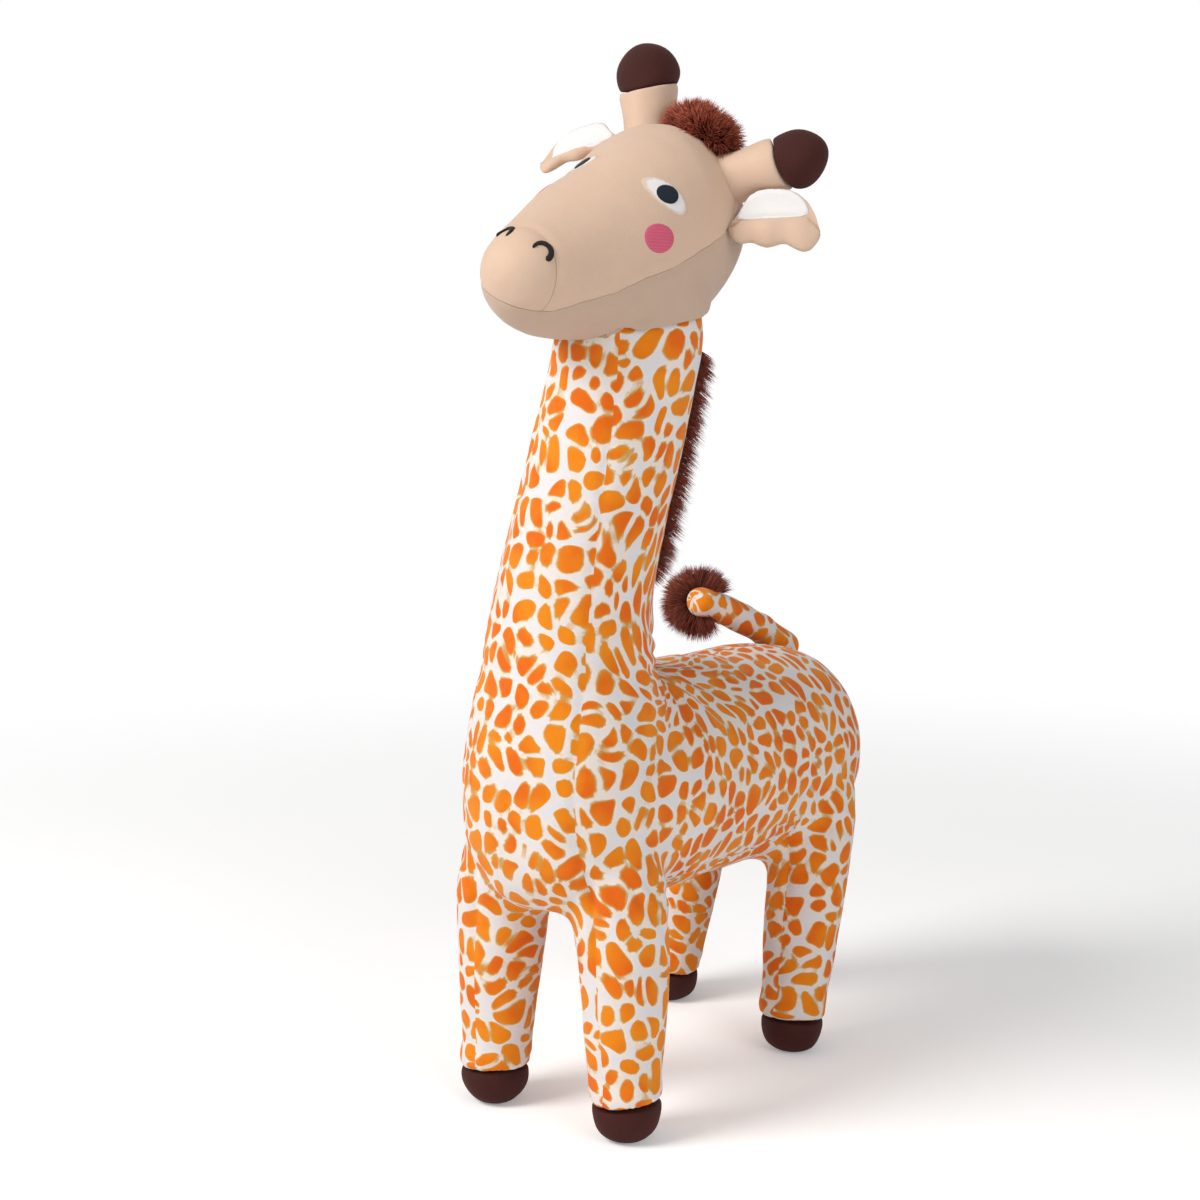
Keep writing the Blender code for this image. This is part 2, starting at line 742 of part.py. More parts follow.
def horn_frame(sign):
    """Where a horn's root is on the head, and the rotation whose Z runs up the horn."""
    root, _ = on_head(HORN_Y, HORN_ANGLE, sign)
    splay, back = (LEFT_HORN_SPLAY, LEFT_HORN_BACK) if sign > 0 else (RIGHT_HORN_SPLAY, RIGHT_HORN_BACK)
    aim = Vector((sign * math.sin(splay) * math.cos(back), math.sin(back), math.cos(splay) * math.cos(back)))
    return root, turned(head_turn() @ aim, head_turn() @ Vector((0, 1, 0)))


def horn_rings(sign, grow=0):
    """A horn's stalk, from inside the head to under its tip."""
    root, turn = horn_frame(sign)
    up = turn @ Vector((0, 0, 1))
    top = HORN_LENGTH - HORN_TIP_HEIGHT
    low = root - up * OVERRUN
    high = root + up * top
    return [
        ring(low, turn, HORN_BASE_WIDTH / 2 + grow, HORN_BASE_WIDTH / 2 + grow),
        ring(root, turn, HORN_BASE_WIDTH / 2 + grow, HORN_BASE_WIDTH / 2 + grow),
        ring(high, turn, HORN_TOP_WIDTH / 2 + grow, HORN_TOP_WIDTH / 2 + grow),
    ]


def build_horns():
    """Two stalks sewn to the head, each with a swollen tip."""
    grown = cutter("head clearance", loft("head clearance", head_rings(GAP), HEAD_SIDES))
    blockers = [grown]
    for side, sign in (("left", 1), ("right", -1)):
        stalk = make(f"{side}_horn", loft(f"{side} horn", horn_rings(sign), LIMB_SIDES), "tan cloth")
        cut(stalk, grown)
        name = f"{side} horn clearance"
        blockers.append(cutter(name, loft(name, horn_rings(sign, GAP), LIMB_SIDES)))
        root, turn = horn_frame(sign)
        up = turn @ Vector((0, 0, 1))
        base = root + up * (HORN_LENGTH - HORN_TIP_HEIGHT + GAP)
        rings = []
        for share, swell in smooth_rows(HORN_TIP_SHARES):
            half = HORN_TIP_WIDTH / 2 * swell
            rings.append(ring(base + up * (HORN_TIP_HEIGHT - GAP) * share, turn, half, half))
        make(f"{side}_horn_tip", loft(f"{side} horn tip", rings, LIMB_SIDES), "brown cloth")
    return blockers


def build_forelock(blockers):
    """A tuft of fur between the horns."""
    root, up = on_head(FORELOCK_Y, FORELOCK_ANGLE, 1, FORELOCK_LIFT)
    turn = turned(up, head_turn() @ Vector((0, 1, 0)))
    size = Matrix.Diagonal((FORELOCK_WIDTH / 2, FORELOCK_DEPTH / 2, FORELOCK_HEIGHT / 2)).to_4x4()
    bm = bmesh.new()
    place = Matrix.Translation(root) @ turn.to_4x4() @ size
    bmesh.ops.create_uvsphere(bm, u_segments=LIMB_SIDES, v_segments=LIMB_SIDES // 2, radius=1, matrix=place)
    mesh = bpy.data.meshes.new("forelock")
    bm.to_mesh(mesh)
    bm.free()
    forelock = make("forelock", mesh, "fur")
    cut(forelock, *blockers)


def ear_frames():
    """Each ear's hinge point just off the head, and its rotation: Z along the ear, Y out of its face."""
    off = EAR_ROOT_WIDTH / 2 + GAP
    left, _ = on_head(EAR_Y, LEFT_EAR_ANGLE, 1, off)
    right, _ = on_head(EAR_Y, RIGHT_EAR_ANGLE, -1, off)
    return {
        "left": (left, turned(LEFT_EAR_AIM, LEFT_EAR_FACE)),
        "right": (right, turned(RIGHT_EAR_AIM, RIGHT_EAR_FACE)),
    }


def ear_rings(hinge, turn, grow=0):
    """A leaf with a rounded root at its hinge."""
    along = turn @ Vector((0, 0, 1))
    half = EAR_THICKNESS / 2
    first = EAR_SHARES[0][2]
    rings = []
    for share in DOME_SHARES:
        angle = math.pi / 2 * share
        out = half * first * math.sin(angle) + grow
        back = along * (EAR_ROOT_WIDTH / 2 * math.cos(angle) + grow)
        wide = EAR_ROOT_WIDTH / 2 * math.sin(angle) + grow
        rings.append(ring(hinge - back, turn, wide, out))
    for share, swell, thick in smooth_rows(EAR_SHARES):
        wide = (EAR_ROOT_WIDTH + (EAR_WIDTH - EAR_ROOT_WIDTH) * swell) / 2
        if share > EAR_SHARES[-3][0]:
            wide = EAR_WIDTH / 2 * swell
        rings.append(ring(hinge + along * (EAR_LENGTH + grow) * share, turn, wide + grow, half * thick + grow))
    return rings


def build_ears():
    """Two ears, each with a white lining on the face that looks forward."""
    for side, (hinge, turn) in ear_frames().items():
        make(f"{side}_ear", loft(f"{side} ear", ear_rings(hinge, turn), LIMB_SIDES), "tan cloth")
        outer = cutter(f"{side} lining outer", loft(
            f"{side} lining outer", ear_rings(hinge, turn, GAP + PATCH_THICKNESS), LIMB_SIDES))
        inner = cutter(f"{side} lining inner", loft(
            f"{side} lining inner", ear_rings(hinge, turn, GAP), LIMB_SIDES))
        along = turn @ Vector((0, 0, 1))
        out = turn @ Vector((0, 1, 0))
        plan = turned(out, along)
        middle = hinge + along * LINING_REACH
        ends = (middle, middle + out * EAR_THICKNESS)
        rings = [ring(end, plan, LINING_WIDTH / 2, LINING_LENGTH / 2) for end in ends]
        lining = make(f"{side}_ear_lining", loft(f"{side} ear lining", rings, LIMB_SIDES), "white cloth")
        keep(lining, outer)
        cut(lining, inner)


def tail_root():
    """The point that the tail turns about, just off the rump."""
    half = TAIL_WIDTH / 2
    across = back_point(TAIL_ROOT_X + half, TAIL_ROOT_Y) - back_point(TAIL_ROOT_X - half, TAIL_ROOT_Y)
    along = back_point(TAIL_ROOT_X, TAIL_ROOT_Y + half) - back_point(TAIL_ROOT_X, TAIL_ROOT_Y - half)
    out = across.cross(along).normalized()
    return back_point(TAIL_ROOT_X, TAIL_ROOT_Y) + out * (half + TAIL_ROOT_GAP)


def tail_points():
    """The tail's centre line, arched between its root and its end."""
    root = tail_root()
    reach = Vector((TAIL_REACH_X, TAIL_REACH_Y, TAIL_REACH_Z))
    arch = Vector((0, 0, TAIL_ARCH))
    return [root + reach * share + arch * math.sin(math.pi * share) for share in TAIL_SHARES]


def tail_rings(grow=0):
    """The tail's tube with a round end at its root and at its tip."""
    points = tail_points()
    half = TAIL_WIDTH / 2
    rings = []
    first = (points[1] - points[0]).normalized()
    for share in DOME_SHARES:
        angle = math.pi / 2 * share
        out = half * math.sin(angle) + grow
        rings.append(ring(points[0] - first * (half * math.cos(angle) + grow), turned(first, (1, 0, 0)), out, out))
    for i, point in enumerate(points):
        heading = (points[min(i + 1, len(points) - 1)] - points[max(i - 1, 0)]).normalized()
        rings.append(ring(point, turned(heading, (1, 0, 0)), half + grow, half + grow))
    last = (points[-1] - points[-2]).normalized()
    for share in reversed(DOME_SHARES):
        angle = math.pi / 2 * share
        out = half * math.sin(angle) + grow
        rings.append(ring(points[-1] + last * (half * math.cos(angle) + grow), turned(last, (1, 0, 0)), out, out))
    return rings


def build_tail():
    """The tail, and the fur tuft round its end."""
    make("tail", loft("tail", tail_rings(), SMALL_SIDES), "printed cloth")
    grown = cutter("tail clearance", loft("tail clearance", tail_rings(GAP), SMALL_SIDES))
    points = tail_points()
    last = (points[-1] - points[-2]).normalized()
    bm = bmesh.new()
    place = Matrix.Translation(points[-1] + last * TUFT_OFFSET) @ turned(last, (1, 0, 0)).to_4x4()
    bmesh.ops.create_uvsphere(
        bm, u_segments=LIMB_SIDES, v_segments=LIMB_SIDES // 2, radius=TUFT_WIDTH / 2, matrix=place)
    mesh = bpy.data.meshes.new("tail tuft")
    bm.to_mesh(mesh)
    bm.free()
    tuft = make("tail_tuft", mesh, "fur")
    cut(tuft, grown)


def pivot(name, place, parent, parent_place):
    """An empty on a joint's axis, carried by the piece before it."""
    empty = bpy.data.objects.new(name, None)
    bpy.context.scene.collection.objects.link(empty)
    empty.parent = parent
    empty.location = place - parent_place
    return empty


def middle_of(names):
    """The point of the floor under the middle of the named pieces."""
    points = [vert.co for name in names for vert in bpy.data.objects[name].data.vertices]
    lows = [min(point[axis] for point in points) for axis in (0, 1)]
    highs = [max(point[axis] for point in points) for axis in (0, 1)]
    return Vector(((lows[0] + highs[0]) / 2, (lows[1] + highs[1]) / 2, 0))


def hang_pieces():
    """Parent every piece to the pivot of its joint, and stand the toy over the origin."""
    origin = Vector((0, 0, 0))
    body = pivot("body pivot", -middle_of(OUTERMOST_NODES), None, origin)
    neck = pivot("neck pivot", neck_base(), body, origin)
    head = pivot("head pivot", neck_top(), neck, neck_base())
    tail = pivot("tail pivot", tail_root(), body, origin)
    carried = {
        neck: (neck_base(), ("neck", "mane")),
        tail: (tail_root(), ("tail", "tail_tuft")),
        head: (neck_top(), HEAD_NODES),
    }
    for side, (hinge, _) in ear_frames().items():
        ear = pivot(f"{side} ear pivot", hinge, head, neck_top())
        carried[ear] = (hinge, (f"{side}_ear", f"{side}_ear_lining"))
    for item in list(bpy.data.objects):
        if item.type == "MESH":
            item.parent = body
    for empty, (place, names) in carried.items():
        for name in names:
            item = bpy.data.objects[name]
            item.parent = empty
            item.location = -place


def main():
    clear_scene()
    build_torso()
    build_legs()
    build_neck()
    build_head()
    build_face()
    build_forelock(build_horns())
    build_ears()
    build_tail()
    hang_pieces()


main()
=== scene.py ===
"""Stuffed toy giraffe: the looks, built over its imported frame."""

import json
import math

import bmesh
import bpy
import numpy as np
from bpy.props import FloatProperty, FloatVectorProperty, IntProperty, PointerProperty
from mathutils import Matrix, Vector
from mathutils.bvhtree import BVHTree


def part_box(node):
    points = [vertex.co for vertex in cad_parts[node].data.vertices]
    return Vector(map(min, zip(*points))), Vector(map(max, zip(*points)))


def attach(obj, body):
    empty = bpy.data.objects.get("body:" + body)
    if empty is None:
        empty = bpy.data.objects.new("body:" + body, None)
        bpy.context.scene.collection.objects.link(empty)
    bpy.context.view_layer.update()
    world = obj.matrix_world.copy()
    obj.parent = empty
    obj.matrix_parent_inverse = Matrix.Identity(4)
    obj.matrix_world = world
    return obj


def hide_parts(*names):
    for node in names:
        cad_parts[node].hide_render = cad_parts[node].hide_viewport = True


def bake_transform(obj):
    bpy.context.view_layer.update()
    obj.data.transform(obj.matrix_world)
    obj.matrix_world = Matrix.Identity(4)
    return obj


bl_info = {
    "name": "Stuffed Giraffe",
    "version": (1, 0, 0),
    "blender": (4, 5, 0),
    "location": "3D View > Sidebar > Giraffe",
    "description": "Sewn cover, head, fur and stage for a stuffed toy giraffe",
    "category": "Object",
}

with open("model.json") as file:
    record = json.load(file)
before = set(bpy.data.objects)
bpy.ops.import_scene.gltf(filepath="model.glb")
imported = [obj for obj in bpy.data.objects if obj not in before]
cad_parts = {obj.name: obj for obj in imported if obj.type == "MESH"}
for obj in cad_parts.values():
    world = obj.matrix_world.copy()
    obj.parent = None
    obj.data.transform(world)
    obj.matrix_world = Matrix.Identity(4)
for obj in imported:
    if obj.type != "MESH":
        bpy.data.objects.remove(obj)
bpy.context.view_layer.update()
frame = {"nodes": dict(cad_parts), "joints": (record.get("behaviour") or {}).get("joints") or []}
PIVOTS = {joint["name"]: Vector(joint["pos_m"]) for joint in frame["joints"]}

# The middle line of the toy: over the legs, and up the leaning neck, as (height, x, y)
BODY_X = PIVOTS["neck_bend"].x
NECK_LINE = (
    (0.312, 0.00, 0.00), (0.326, 0.05, 0.05), (0.377, 0.33, 0.33), (0.433, 0.69, 0.69), (0.492, 1.00, 1.00),
)
# How far each side seam of the front and belly panel lies from the middle line, as (height, offset)
FRONT_SEAM = (
    (0.20, 0.043), (0.25, 0.042), (0.31, 0.040), (0.37, 0.034), (0.42, 0.029), (0.48, 0.023), (0.53, 0.015),
)
# Below this height the front and belly panel runs down the legs
BELLY_Z = 0.20
FEET = {
    name: (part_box(name + "_hoof")[0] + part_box(name + "_hoof")[1]) / 2
    for name in ("front_left", "front_right", "hind_left", "hind_right")
}
LEG_TOP_OFFSET = {"front": 0.043, "hind": 0.048}
HOOF_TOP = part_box("front_left_hoof")[1].z
SEAM_SPREAD = 0.003

# The head's own frame, and the jaw's rim round the neck's domed top
HEAD_CENTRE = PIVOTS["head_nod"] + Vector((0.0012, -0.0168, 0.0564))
COLLAR_TURN = math.radians(36.4)
COLLAR_TILT = math.radians(20.7)
COLLAR_HALF = 0.0480
NECK_DOME = 0.0471
HEAD_TURN = (
    Matrix.Rotation(math.radians(1), 3, "Z")
    @ Matrix.Rotation(math.radians(24.9), 3, "Y")
    @ Matrix.Rotation(math.radians(-1.6), 3, "X")
)


def srgb(red, green, blue):
    """A screen colour, from 0 to 255, as Blender's linear one."""
    return tuple(
        c / 12.92 if c <= 0.04045 else ((c + 0.055) / 1.055) ** 2.4
        for c in (red / 255, green / 255, blue / 255)
    )


# ---- sizes and colours that a user would change ----


class GiraffeCloth(bpy.types.PropertyGroup):
    """Sizes and colours of the sewn cloth."""

    spot_size: FloatProperty(
        name="Spot Size", description="Distance from one printed spot to the next",
        default=0.0142, min=0.008, max=0.04, unit="LENGTH", precision=4,
    )
    ground: FloatVectorProperty(
        name="Ground", description="Colour of the printed cloth between its spots",
        default=srgb(222, 217, 218), size=3, min=0, max=1, subtype="COLOR",
    )
    spot: FloatVectorProperty(
        name="Spot", description="Colour of the printed spots",
        default=srgb(222, 100, 4), size=3, min=0, max=1, subtype="COLOR",
    )
    halo: FloatVectorProperty(
        name="Halo", description="Colour of the thin rim of each printed spot",
        default=srgb(196, 150, 70), size=3, min=0, max=1, subtype="COLOR",
    )
    tan: FloatVectorProperty(
        name="Tan", description="Colour of the head, horns and ears",
        default=srgb(207, 177, 154), size=3, min=0, max=1, subtype="COLOR",
    )
    # The jaw panel's colour is a little greyer than the tan, which is its own, and darker, which is painted
    # shade of the underside.
    under: FloatVectorProperty(
        name="Underside", description="Colour of the jaw panel",
        default=srgb(190, 164, 144), size=3, min=0, max=1, subtype="COLOR",
    )
    brown: FloatVectorProperty(
        name="Brown", description="Colour of the hooves and the horn tips",
        default=srgb(56, 18, 13), size=3, min=0, max=1, subtype="COLOR",
    )
    white: FloatVectorProperty(
        name="White", description="Colour of the ear linings and the whites of the eyes",
        default=srgb(228, 225, 224), size=3, min=0, max=1, subtype="COLOR",
    )
    voxel: FloatProperty(
        name="Skin Cell", description="Cell size of the skin that is drawn over the stuffed forms",
        default=0.0045, min=0.003, max=0.006, unit="LENGTH", precision=4,
    )


class GiraffeFace(bpy.types.PropertyGroup):
    """Sizes and colours of the embroidered face."""

    pupil: FloatVectorProperty(
        name="Pupil", description="Thread colour of the pupils",
        default=srgb(10, 20, 34), size=3, min=0, max=1, subtype="COLOR",
    )
    nostril: FloatVectorProperty(
        name="Nostril", description="Thread colour of the nostrils",
        default=srgb(22, 22, 24), size=3, min=0, max=1, subtype="COLOR",
    )
    cheek: FloatVectorProperty(
        name="Cheek", description="Thread colour of the cheeks",
        default=srgb(216, 96, 124), size=3, min=0, max=1, subtype="COLOR",
    )
    rise: FloatProperty(
        name="Rise", description="How far the stitching stands off the cloth",
        default=0.0010, min=0.0003, max=0.002, unit="LENGTH", precision=4,
    )


class GiraffeFur(bpy.types.PropertyGroup):
    """Sizes and colours of the fur."""

    colour: FloatVectorProperty(
        name="Fur", description="Colour of the fur",
        default=srgb(124, 58, 40), size=3, min=0, max=1, subtype="COLOR",
    )
    mane_length: FloatProperty(
        name="Mane Length", description="Length of the mane's hairs",
        default=0.020, min=0.008, max=0.04, unit="LENGTH", precision=3,
    )
    tuft_length: FloatProperty(
        name="Tuft Length", description="Length of the tail tuft's hairs",
        default=0.017, min=0.008, max=0.04, unit="LENGTH", precision=3,
    )
    strands: IntProperty(
        name="Strands", description="Hairs in each of the fur pieces",
        default=11000, min=500, max=12000,
    )


class GiraffeStage(bpy.types.PropertyGroup):
    """The camera and the light."""

    lens: FloatProperty(
        name="Lens", description="Focal length of the camera on a 36 mm wide sensor, in millimetres",
        default=57.0, min=20, max=200,
    )
    world_level: FloatProperty(
        name="Surroundings", description="Brightness of the even light from all round",
        default=0.30, min=0, max=2,
    )
    key_level: FloatProperty(
        name="Main Light", description="Strength of the soft light from the upper left, in watts",
        default=47, min=0, max=200,
    )


# ---- meshes ----

# How hard the stuffing presses on the cloth, and over how many frames it settles
STUFFING = 4.0
SETTLING = 20


def only(item):
    """Select and activate one object alone."""
    for other in bpy.context.selected_objects:
        other.select_set(False)
    item.select_set(True)
    bpy.context.view_layer.objects.active = item


def new_object(name, bm):
    """An object with the mesh, ready to be shaped further."""
    mesh = bpy.data.meshes.new(name)
    bm.to_mesh(mesh)
    bm.free()
    item = bpy.data.objects.new(name, mesh)
    bpy.context.scene.collection.objects.link(item)
    return item


def apply_modifiers(item):
    """Make the effect of each modifier part of the mesh."""
    only(item)
    for modifier in list(item.modifiers):
        bpy.ops.object.modifier_apply(modifier=modifier.name)


def points_of(item):
    """The places of the mesh's points, one row each."""
    points = np.empty(len(item.data.vertices) * 3)
    item.data.vertices.foreach_get("co", points)
    return points.reshape(-1, 3)


def place_points(item, points):
    """Move the mesh's points to new places."""
    item.data.vertices.foreach_set("co", np.ascontiguousarray(points, dtype=np.float64).ravel())
    item.data.update()


def edges_of(item):
    """The two points of each of the mesh's edges."""
    edges = np.empty(len(item.data.edges) * 2, dtype=np.int64)
    item.data.edges.foreach_get("vertices", edges)
    return edges.reshape(-1, 2)


def normals_of(item):
    """The outward direction at each of the mesh's points."""
    normals = np.empty(len(item.data.vertices) * 3)
    item.data.vertices.foreach_get("normal", normals)
    return normals.reshape(-1, 3)


def relax(points, edges, rounds, share):
    """Points moved part of the way to the mean of their neighbours, so many times."""
    count = np.bincount(edges.ravel(), minlength=len(points))
    for _ in range(rounds):
        mean = np.empty_like(points)
        for axis in range(3):
            along = points[:, axis]
            mean[:, axis] = (
                np.bincount(edges[:, 0], along[edges[:, 1]], len(points))
                + np.bincount(edges[:, 1], along[edges[:, 0]], len(points))
            ) / count
        points = points + share * (mean - points)
    return points


def node_form(*nodes):
    """CAD nodes as one mesh, with the doubles along their edges merged."""
    bm = bmesh.new()
    for node in nodes:
        part = bmesh.new()
        part.from_mesh(frame["nodes"][node].data)
        bmesh.ops.remove_doubles(part, verts=part.verts, dist=0.00002)
        mesh = bpy.data.meshes.new(node)
        part.to_mesh(mesh)
        part.free()
        bm.from_mesh(mesh)
        bpy.data.meshes.remove(mesh)
    return bm


def keep_largest(item):
    """Drop any closed pocket that the remesh left inside the skin."""
    bm = bmesh.new()
    bm.from_mesh(item.data)
    groups, seen = [], set()
    for start in bm.verts:
        if start in seen:
            continue
        group, todo = [], [start]
        seen.add(start)
        while todo:
            vert = todo.pop()
            group.append(vert)
            for edge in vert.link_edges:
                other = edge.other_vert(vert)
                if other not in seen:
                    seen.add(other)
                    todo.append(other)
        groups.append(group)
    groups.sort(key=len)
    for group in groups[:-1]:
        bmesh.ops.delete(bm, geom=group, context="VERTS")
    bm.to_mesh(item.data)
    bm.free()


def add_form(bm, extra):
    """Take another closed form into the mesh."""
    mesh = bpy.data.meshes.new("extra")
    extra.to_mesh(mesh)
    extra.free()
    bm.from_mesh(mesh)
    bpy.data.meshes.remove(mesh)


def skin_over(name, nodes, voxel, rounds, filler=None, hollow=None):
    """One soft skin over CAD nodes: their own forms outside, with the creases between them filled."""
    bm = node_form(*nodes)
    if filler:
        add_form(bm, filler)
    outer = bm.copy()
    if hollow:
        centre, reach = hollow
        walls = [
            face for face in outer.faces
            if (face.calc_center_median() - centre).length < reach
            and (face.calc_center_median() - centre).dot(face.normal) < 0
        ]
        bmesh.ops.delete(outer, geom=walls, context="FACES")
    tree = BVHTree.FromBMesh(outer)
    outer.free()
    item = new_object(name, bm)
    remesh = item.modifiers.new("skin", "REMESH")
    remesh.mode = "VOXEL"
    remesh.voxel_size = voxel
    apply_modifiers(item)
    keep_largest(item)
    edges = edges_of(item)
    points = relax(points_of(item), edges, rounds, 0.5)
    for i, point in enumerate(points):
        near, normal, _, _ = tree.find_nearest(Vector(point))
        if (Vector(point) - near).dot(normal) < 0:
            points[i] = near
    place_points(item, relax(points, edges, 3, 0.5))
    return item


def stuff(item, cap):
    """Fill the skin as cloth, each point moving no further than the cap."""
    before = points_of(item)
    cloth = item.modifiers.new("stuffing", "CLOTH")
    settings = cloth.settings
    settings.quality = 5
    settings.mass = 0.15
    settings.tension_stiffness = 12
    settings.compression_stiffness = 12
    settings.shear_stiffness = 5
    settings.bending_stiffness = 0.3
    settings.use_pressure = True
    settings.uniform_pressure_force = STUFFING
    settings.effector_weights.gravity = 0
    scene = bpy.context.scene
    for number in range(1, SETTLING + 1):
        scene.frame_set(number)
    apply_modifiers(item)
    scene.frame_set(1)
    moved = points_of(item) - before
    far = np.linalg.norm(moved, axis=1)
    place_points(item, before + moved * np.minimum(1, cap / np.maximum(far, 1e-9))[:, None])


def subdivide(item, levels):
    """Round the mesh off with smaller faces."""
    step = item.modifiers.new("finer", "SUBSURF")
    step.levels = levels
    step.render_levels = levels
    apply_modifiers(item)


def bell(off, width):
    """1 on a line and near 0 beyond its width, for what lies so far off it."""
    return np.exp(-((off / width) ** 2))


def waves(points, size, seed):
    """Soft ups and downs between -1 and 1, about so far apart."""
    rng = np.random.default_rng(seed)
    total = np.zeros(len(points))
    for _ in range(9):
        way = rng.normal(size=3)
        way *= rng.uniform(0.7, 1.3) / np.linalg.norm(way)
        total += np.sin(points @ way * (2 * math.pi / size) + rng.uniform(0, 2 * math.pi))
    return total / 4.5


def soften(item, amount, size, seed):
    """Give the piece the soft unevenness of its stuffing."""
    points, normals = points_of(item), normals_of(item)
    place_points(item, points + normals * (amount * waves(points, size, seed))[:, None])


def finish_piece(item, body, material, replaced, angle=None):
    """Shade, dress and hang one finished piece."""
    only(item)
    if angle is None:
        bpy.ops.object.shade_smooth()
    else:
        bpy.ops.object.shade_smooth_by_angle(angle=math.radians(angle))
    item.data.materials.clear()
    item.data.materials.append(material)
    if body:
        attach(item, body)
    if replaced:
        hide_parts(*replaced)
    return item


# ---- materials ----


class Nodes:
    """A node tree, filled one node after another."""

    def __init__(self, tree):
        self.tree = tree

    def add(self, kind, inputs=None, **settings):
        node = self.tree.nodes.new(kind)
        for key, value in settings.items():
            setattr(node, key, value)
        for key, value in (inputs or {}).items():
            if isinstance(value, bpy.types.NodeSocket):
                self.tree.links.new(value, node.inputs[key])
            else:
                node.inputs[key].default_value = value
        return node

    def maths(self, operation, first, second=0.0, third=0.0):
        return self.add("ShaderNodeMath", {0: first, 1: second, 2: third}, operation=operation).outputs[0]

    def vector(self, operation, first, second):
        return self.add("ShaderNodeVectorMath", {0: first, 1: second}, operation=operation).outputs[0]

    def scaled(self, colour, share):
        return self.add("ShaderNodeVectorMath", {0: colour, "Scale": share}, operation="SCALE").outputs[0]

    def mix(self, share, first, second):
        node = self.add("ShaderNodeMix", {"Factor": share}, data_type="RGBA")
        for socket, value in ((node.inputs[6], first), (node.inputs[7], second)):
            if isinstance(value, bpy.types.NodeSocket):
                self.tree.links.new(value, socket)
            else:
                socket.default_value = (*value, 1)
        return node.outputs[2]

    def noise(self, where, scale, detail=2.0, rough=0.5, dimensions="3D"):
        return self.add(
            "ShaderNodeTexNoise", {"Vector": where, "Scale": scale, "Detail": detail, "Roughness": rough},
            noise_dimensions=dimensions,
        ).outputs["Fac"]

    def stretch(self, value, low, high, out_low=0.0, out_high=1.0, smooth=True):
        return self.add(
            "ShaderNodeMapRange",
            {"Value": value, "From Min": low, "From Max": high, "To Min": out_low, "To Max": out_high},
            interpolation_type="SMOOTHSTEP" if smooth else "LINEAR",
        ).outputs["Result"]

    def object_place(self):
        return self.add("ShaderNodeTexCoord").outputs["Object"]

    def seen_straight(self):
        """1 for the camera's own rays and those by way of gloss or glass, 0 for light that bounces."""
        path = self.add("ShaderNodeLightPath").outputs
        seen = self.maths("MAXIMUM", path["Is Camera Ray"], path["Is Glossy Ray"])
        return self.maths("MAXIMUM", seen, path["Is Transmission Ray"])


class Weave(Nodes):
    """A cloth, thread, fur or floor material."""

    def __init__(self, name):
        self.material = bpy.data.materials.new(name)
        self.material.use_nodes = True
        super().__init__(self.material.node_tree)
        self.shader = self.tree.nodes["Principled BSDF"]

    def bump(self, height, distance, strength=1.0, after=None):
        inputs = {"Height": height, "Distance": distance, "Strength": strength}
        if after:
            inputs["Normal"] = after
        return self.add("ShaderNodeBump", inputs).outputs["Normal"]

    def finish(self, colour, normal, rough=0.85, sheen=0.0, tint=(1, 1, 1), specular=0.3):
        sockets = self.shader.inputs
        self.tree.links.new(colour, sockets["Base Color"])
        sockets["Roughness"].default_value = rough
        if normal:
            self.tree.links.new(normal, sockets["Normal"])
        sockets["Sheen Weight"].default_value = sheen
        sockets["Sheen Roughness"].default_value = 0.45
        sockets["Sheen Tint"].default_value = (*tint, 1)
        sockets["Specular IOR Level"].default_value = specular
        return self.material


def pile_bump(weave, where, soft=0.0004):
    """The short brushed pile of soft toy cloth: fine nap over gentle patches where it lies differently."""
    patches = weave.bump(weave.noise(where, 60, 3), 0.0012, 0.35)
    nap = weave.bump(weave.noise(where, 700, 3, 0.6), soft, 0.6, patches)
    return weave.bump(weave.noise(where, 2200, 2, 0.5), soft / 3, 0.5, nap)


def shaded_by_pile(weave, where, colour, amount):
    """The colour with the light and dark of brushed pile."""
    patches = weave.noise(where, 45, 3, 0.6)
    nap = weave.noise(where, 900, 2, 0.5)
    level = weave.maths("ADD", weave.maths("MULTIPLY", patches, 0.6), weave.maths("MULTIPLY", nap, 0.4))
    share = weave.stretch(level, 0.3, 0.7, 1 - amount, 1 + amount, smooth=False)
    return weave.scaled(colour, share)


def plain_cloth(name, colour, rough=0.8, sheen=0.25, tint=(1, 1, 1), amount=0.06, soft=0.0004):
    """Short-pile cloth of one colour."""
    weave = Weave(name)
    where = weave.object_place()
    tone = weave.add("ShaderNodeRGB")
    tone.outputs[0].default_value = (*colour, 1)
    shaded = shaded_by_pile(weave, where, tone.outputs[0], amount)
    return weave.finish(shaded, pile_bump(weave, where, soft), rough, sheen, tint)


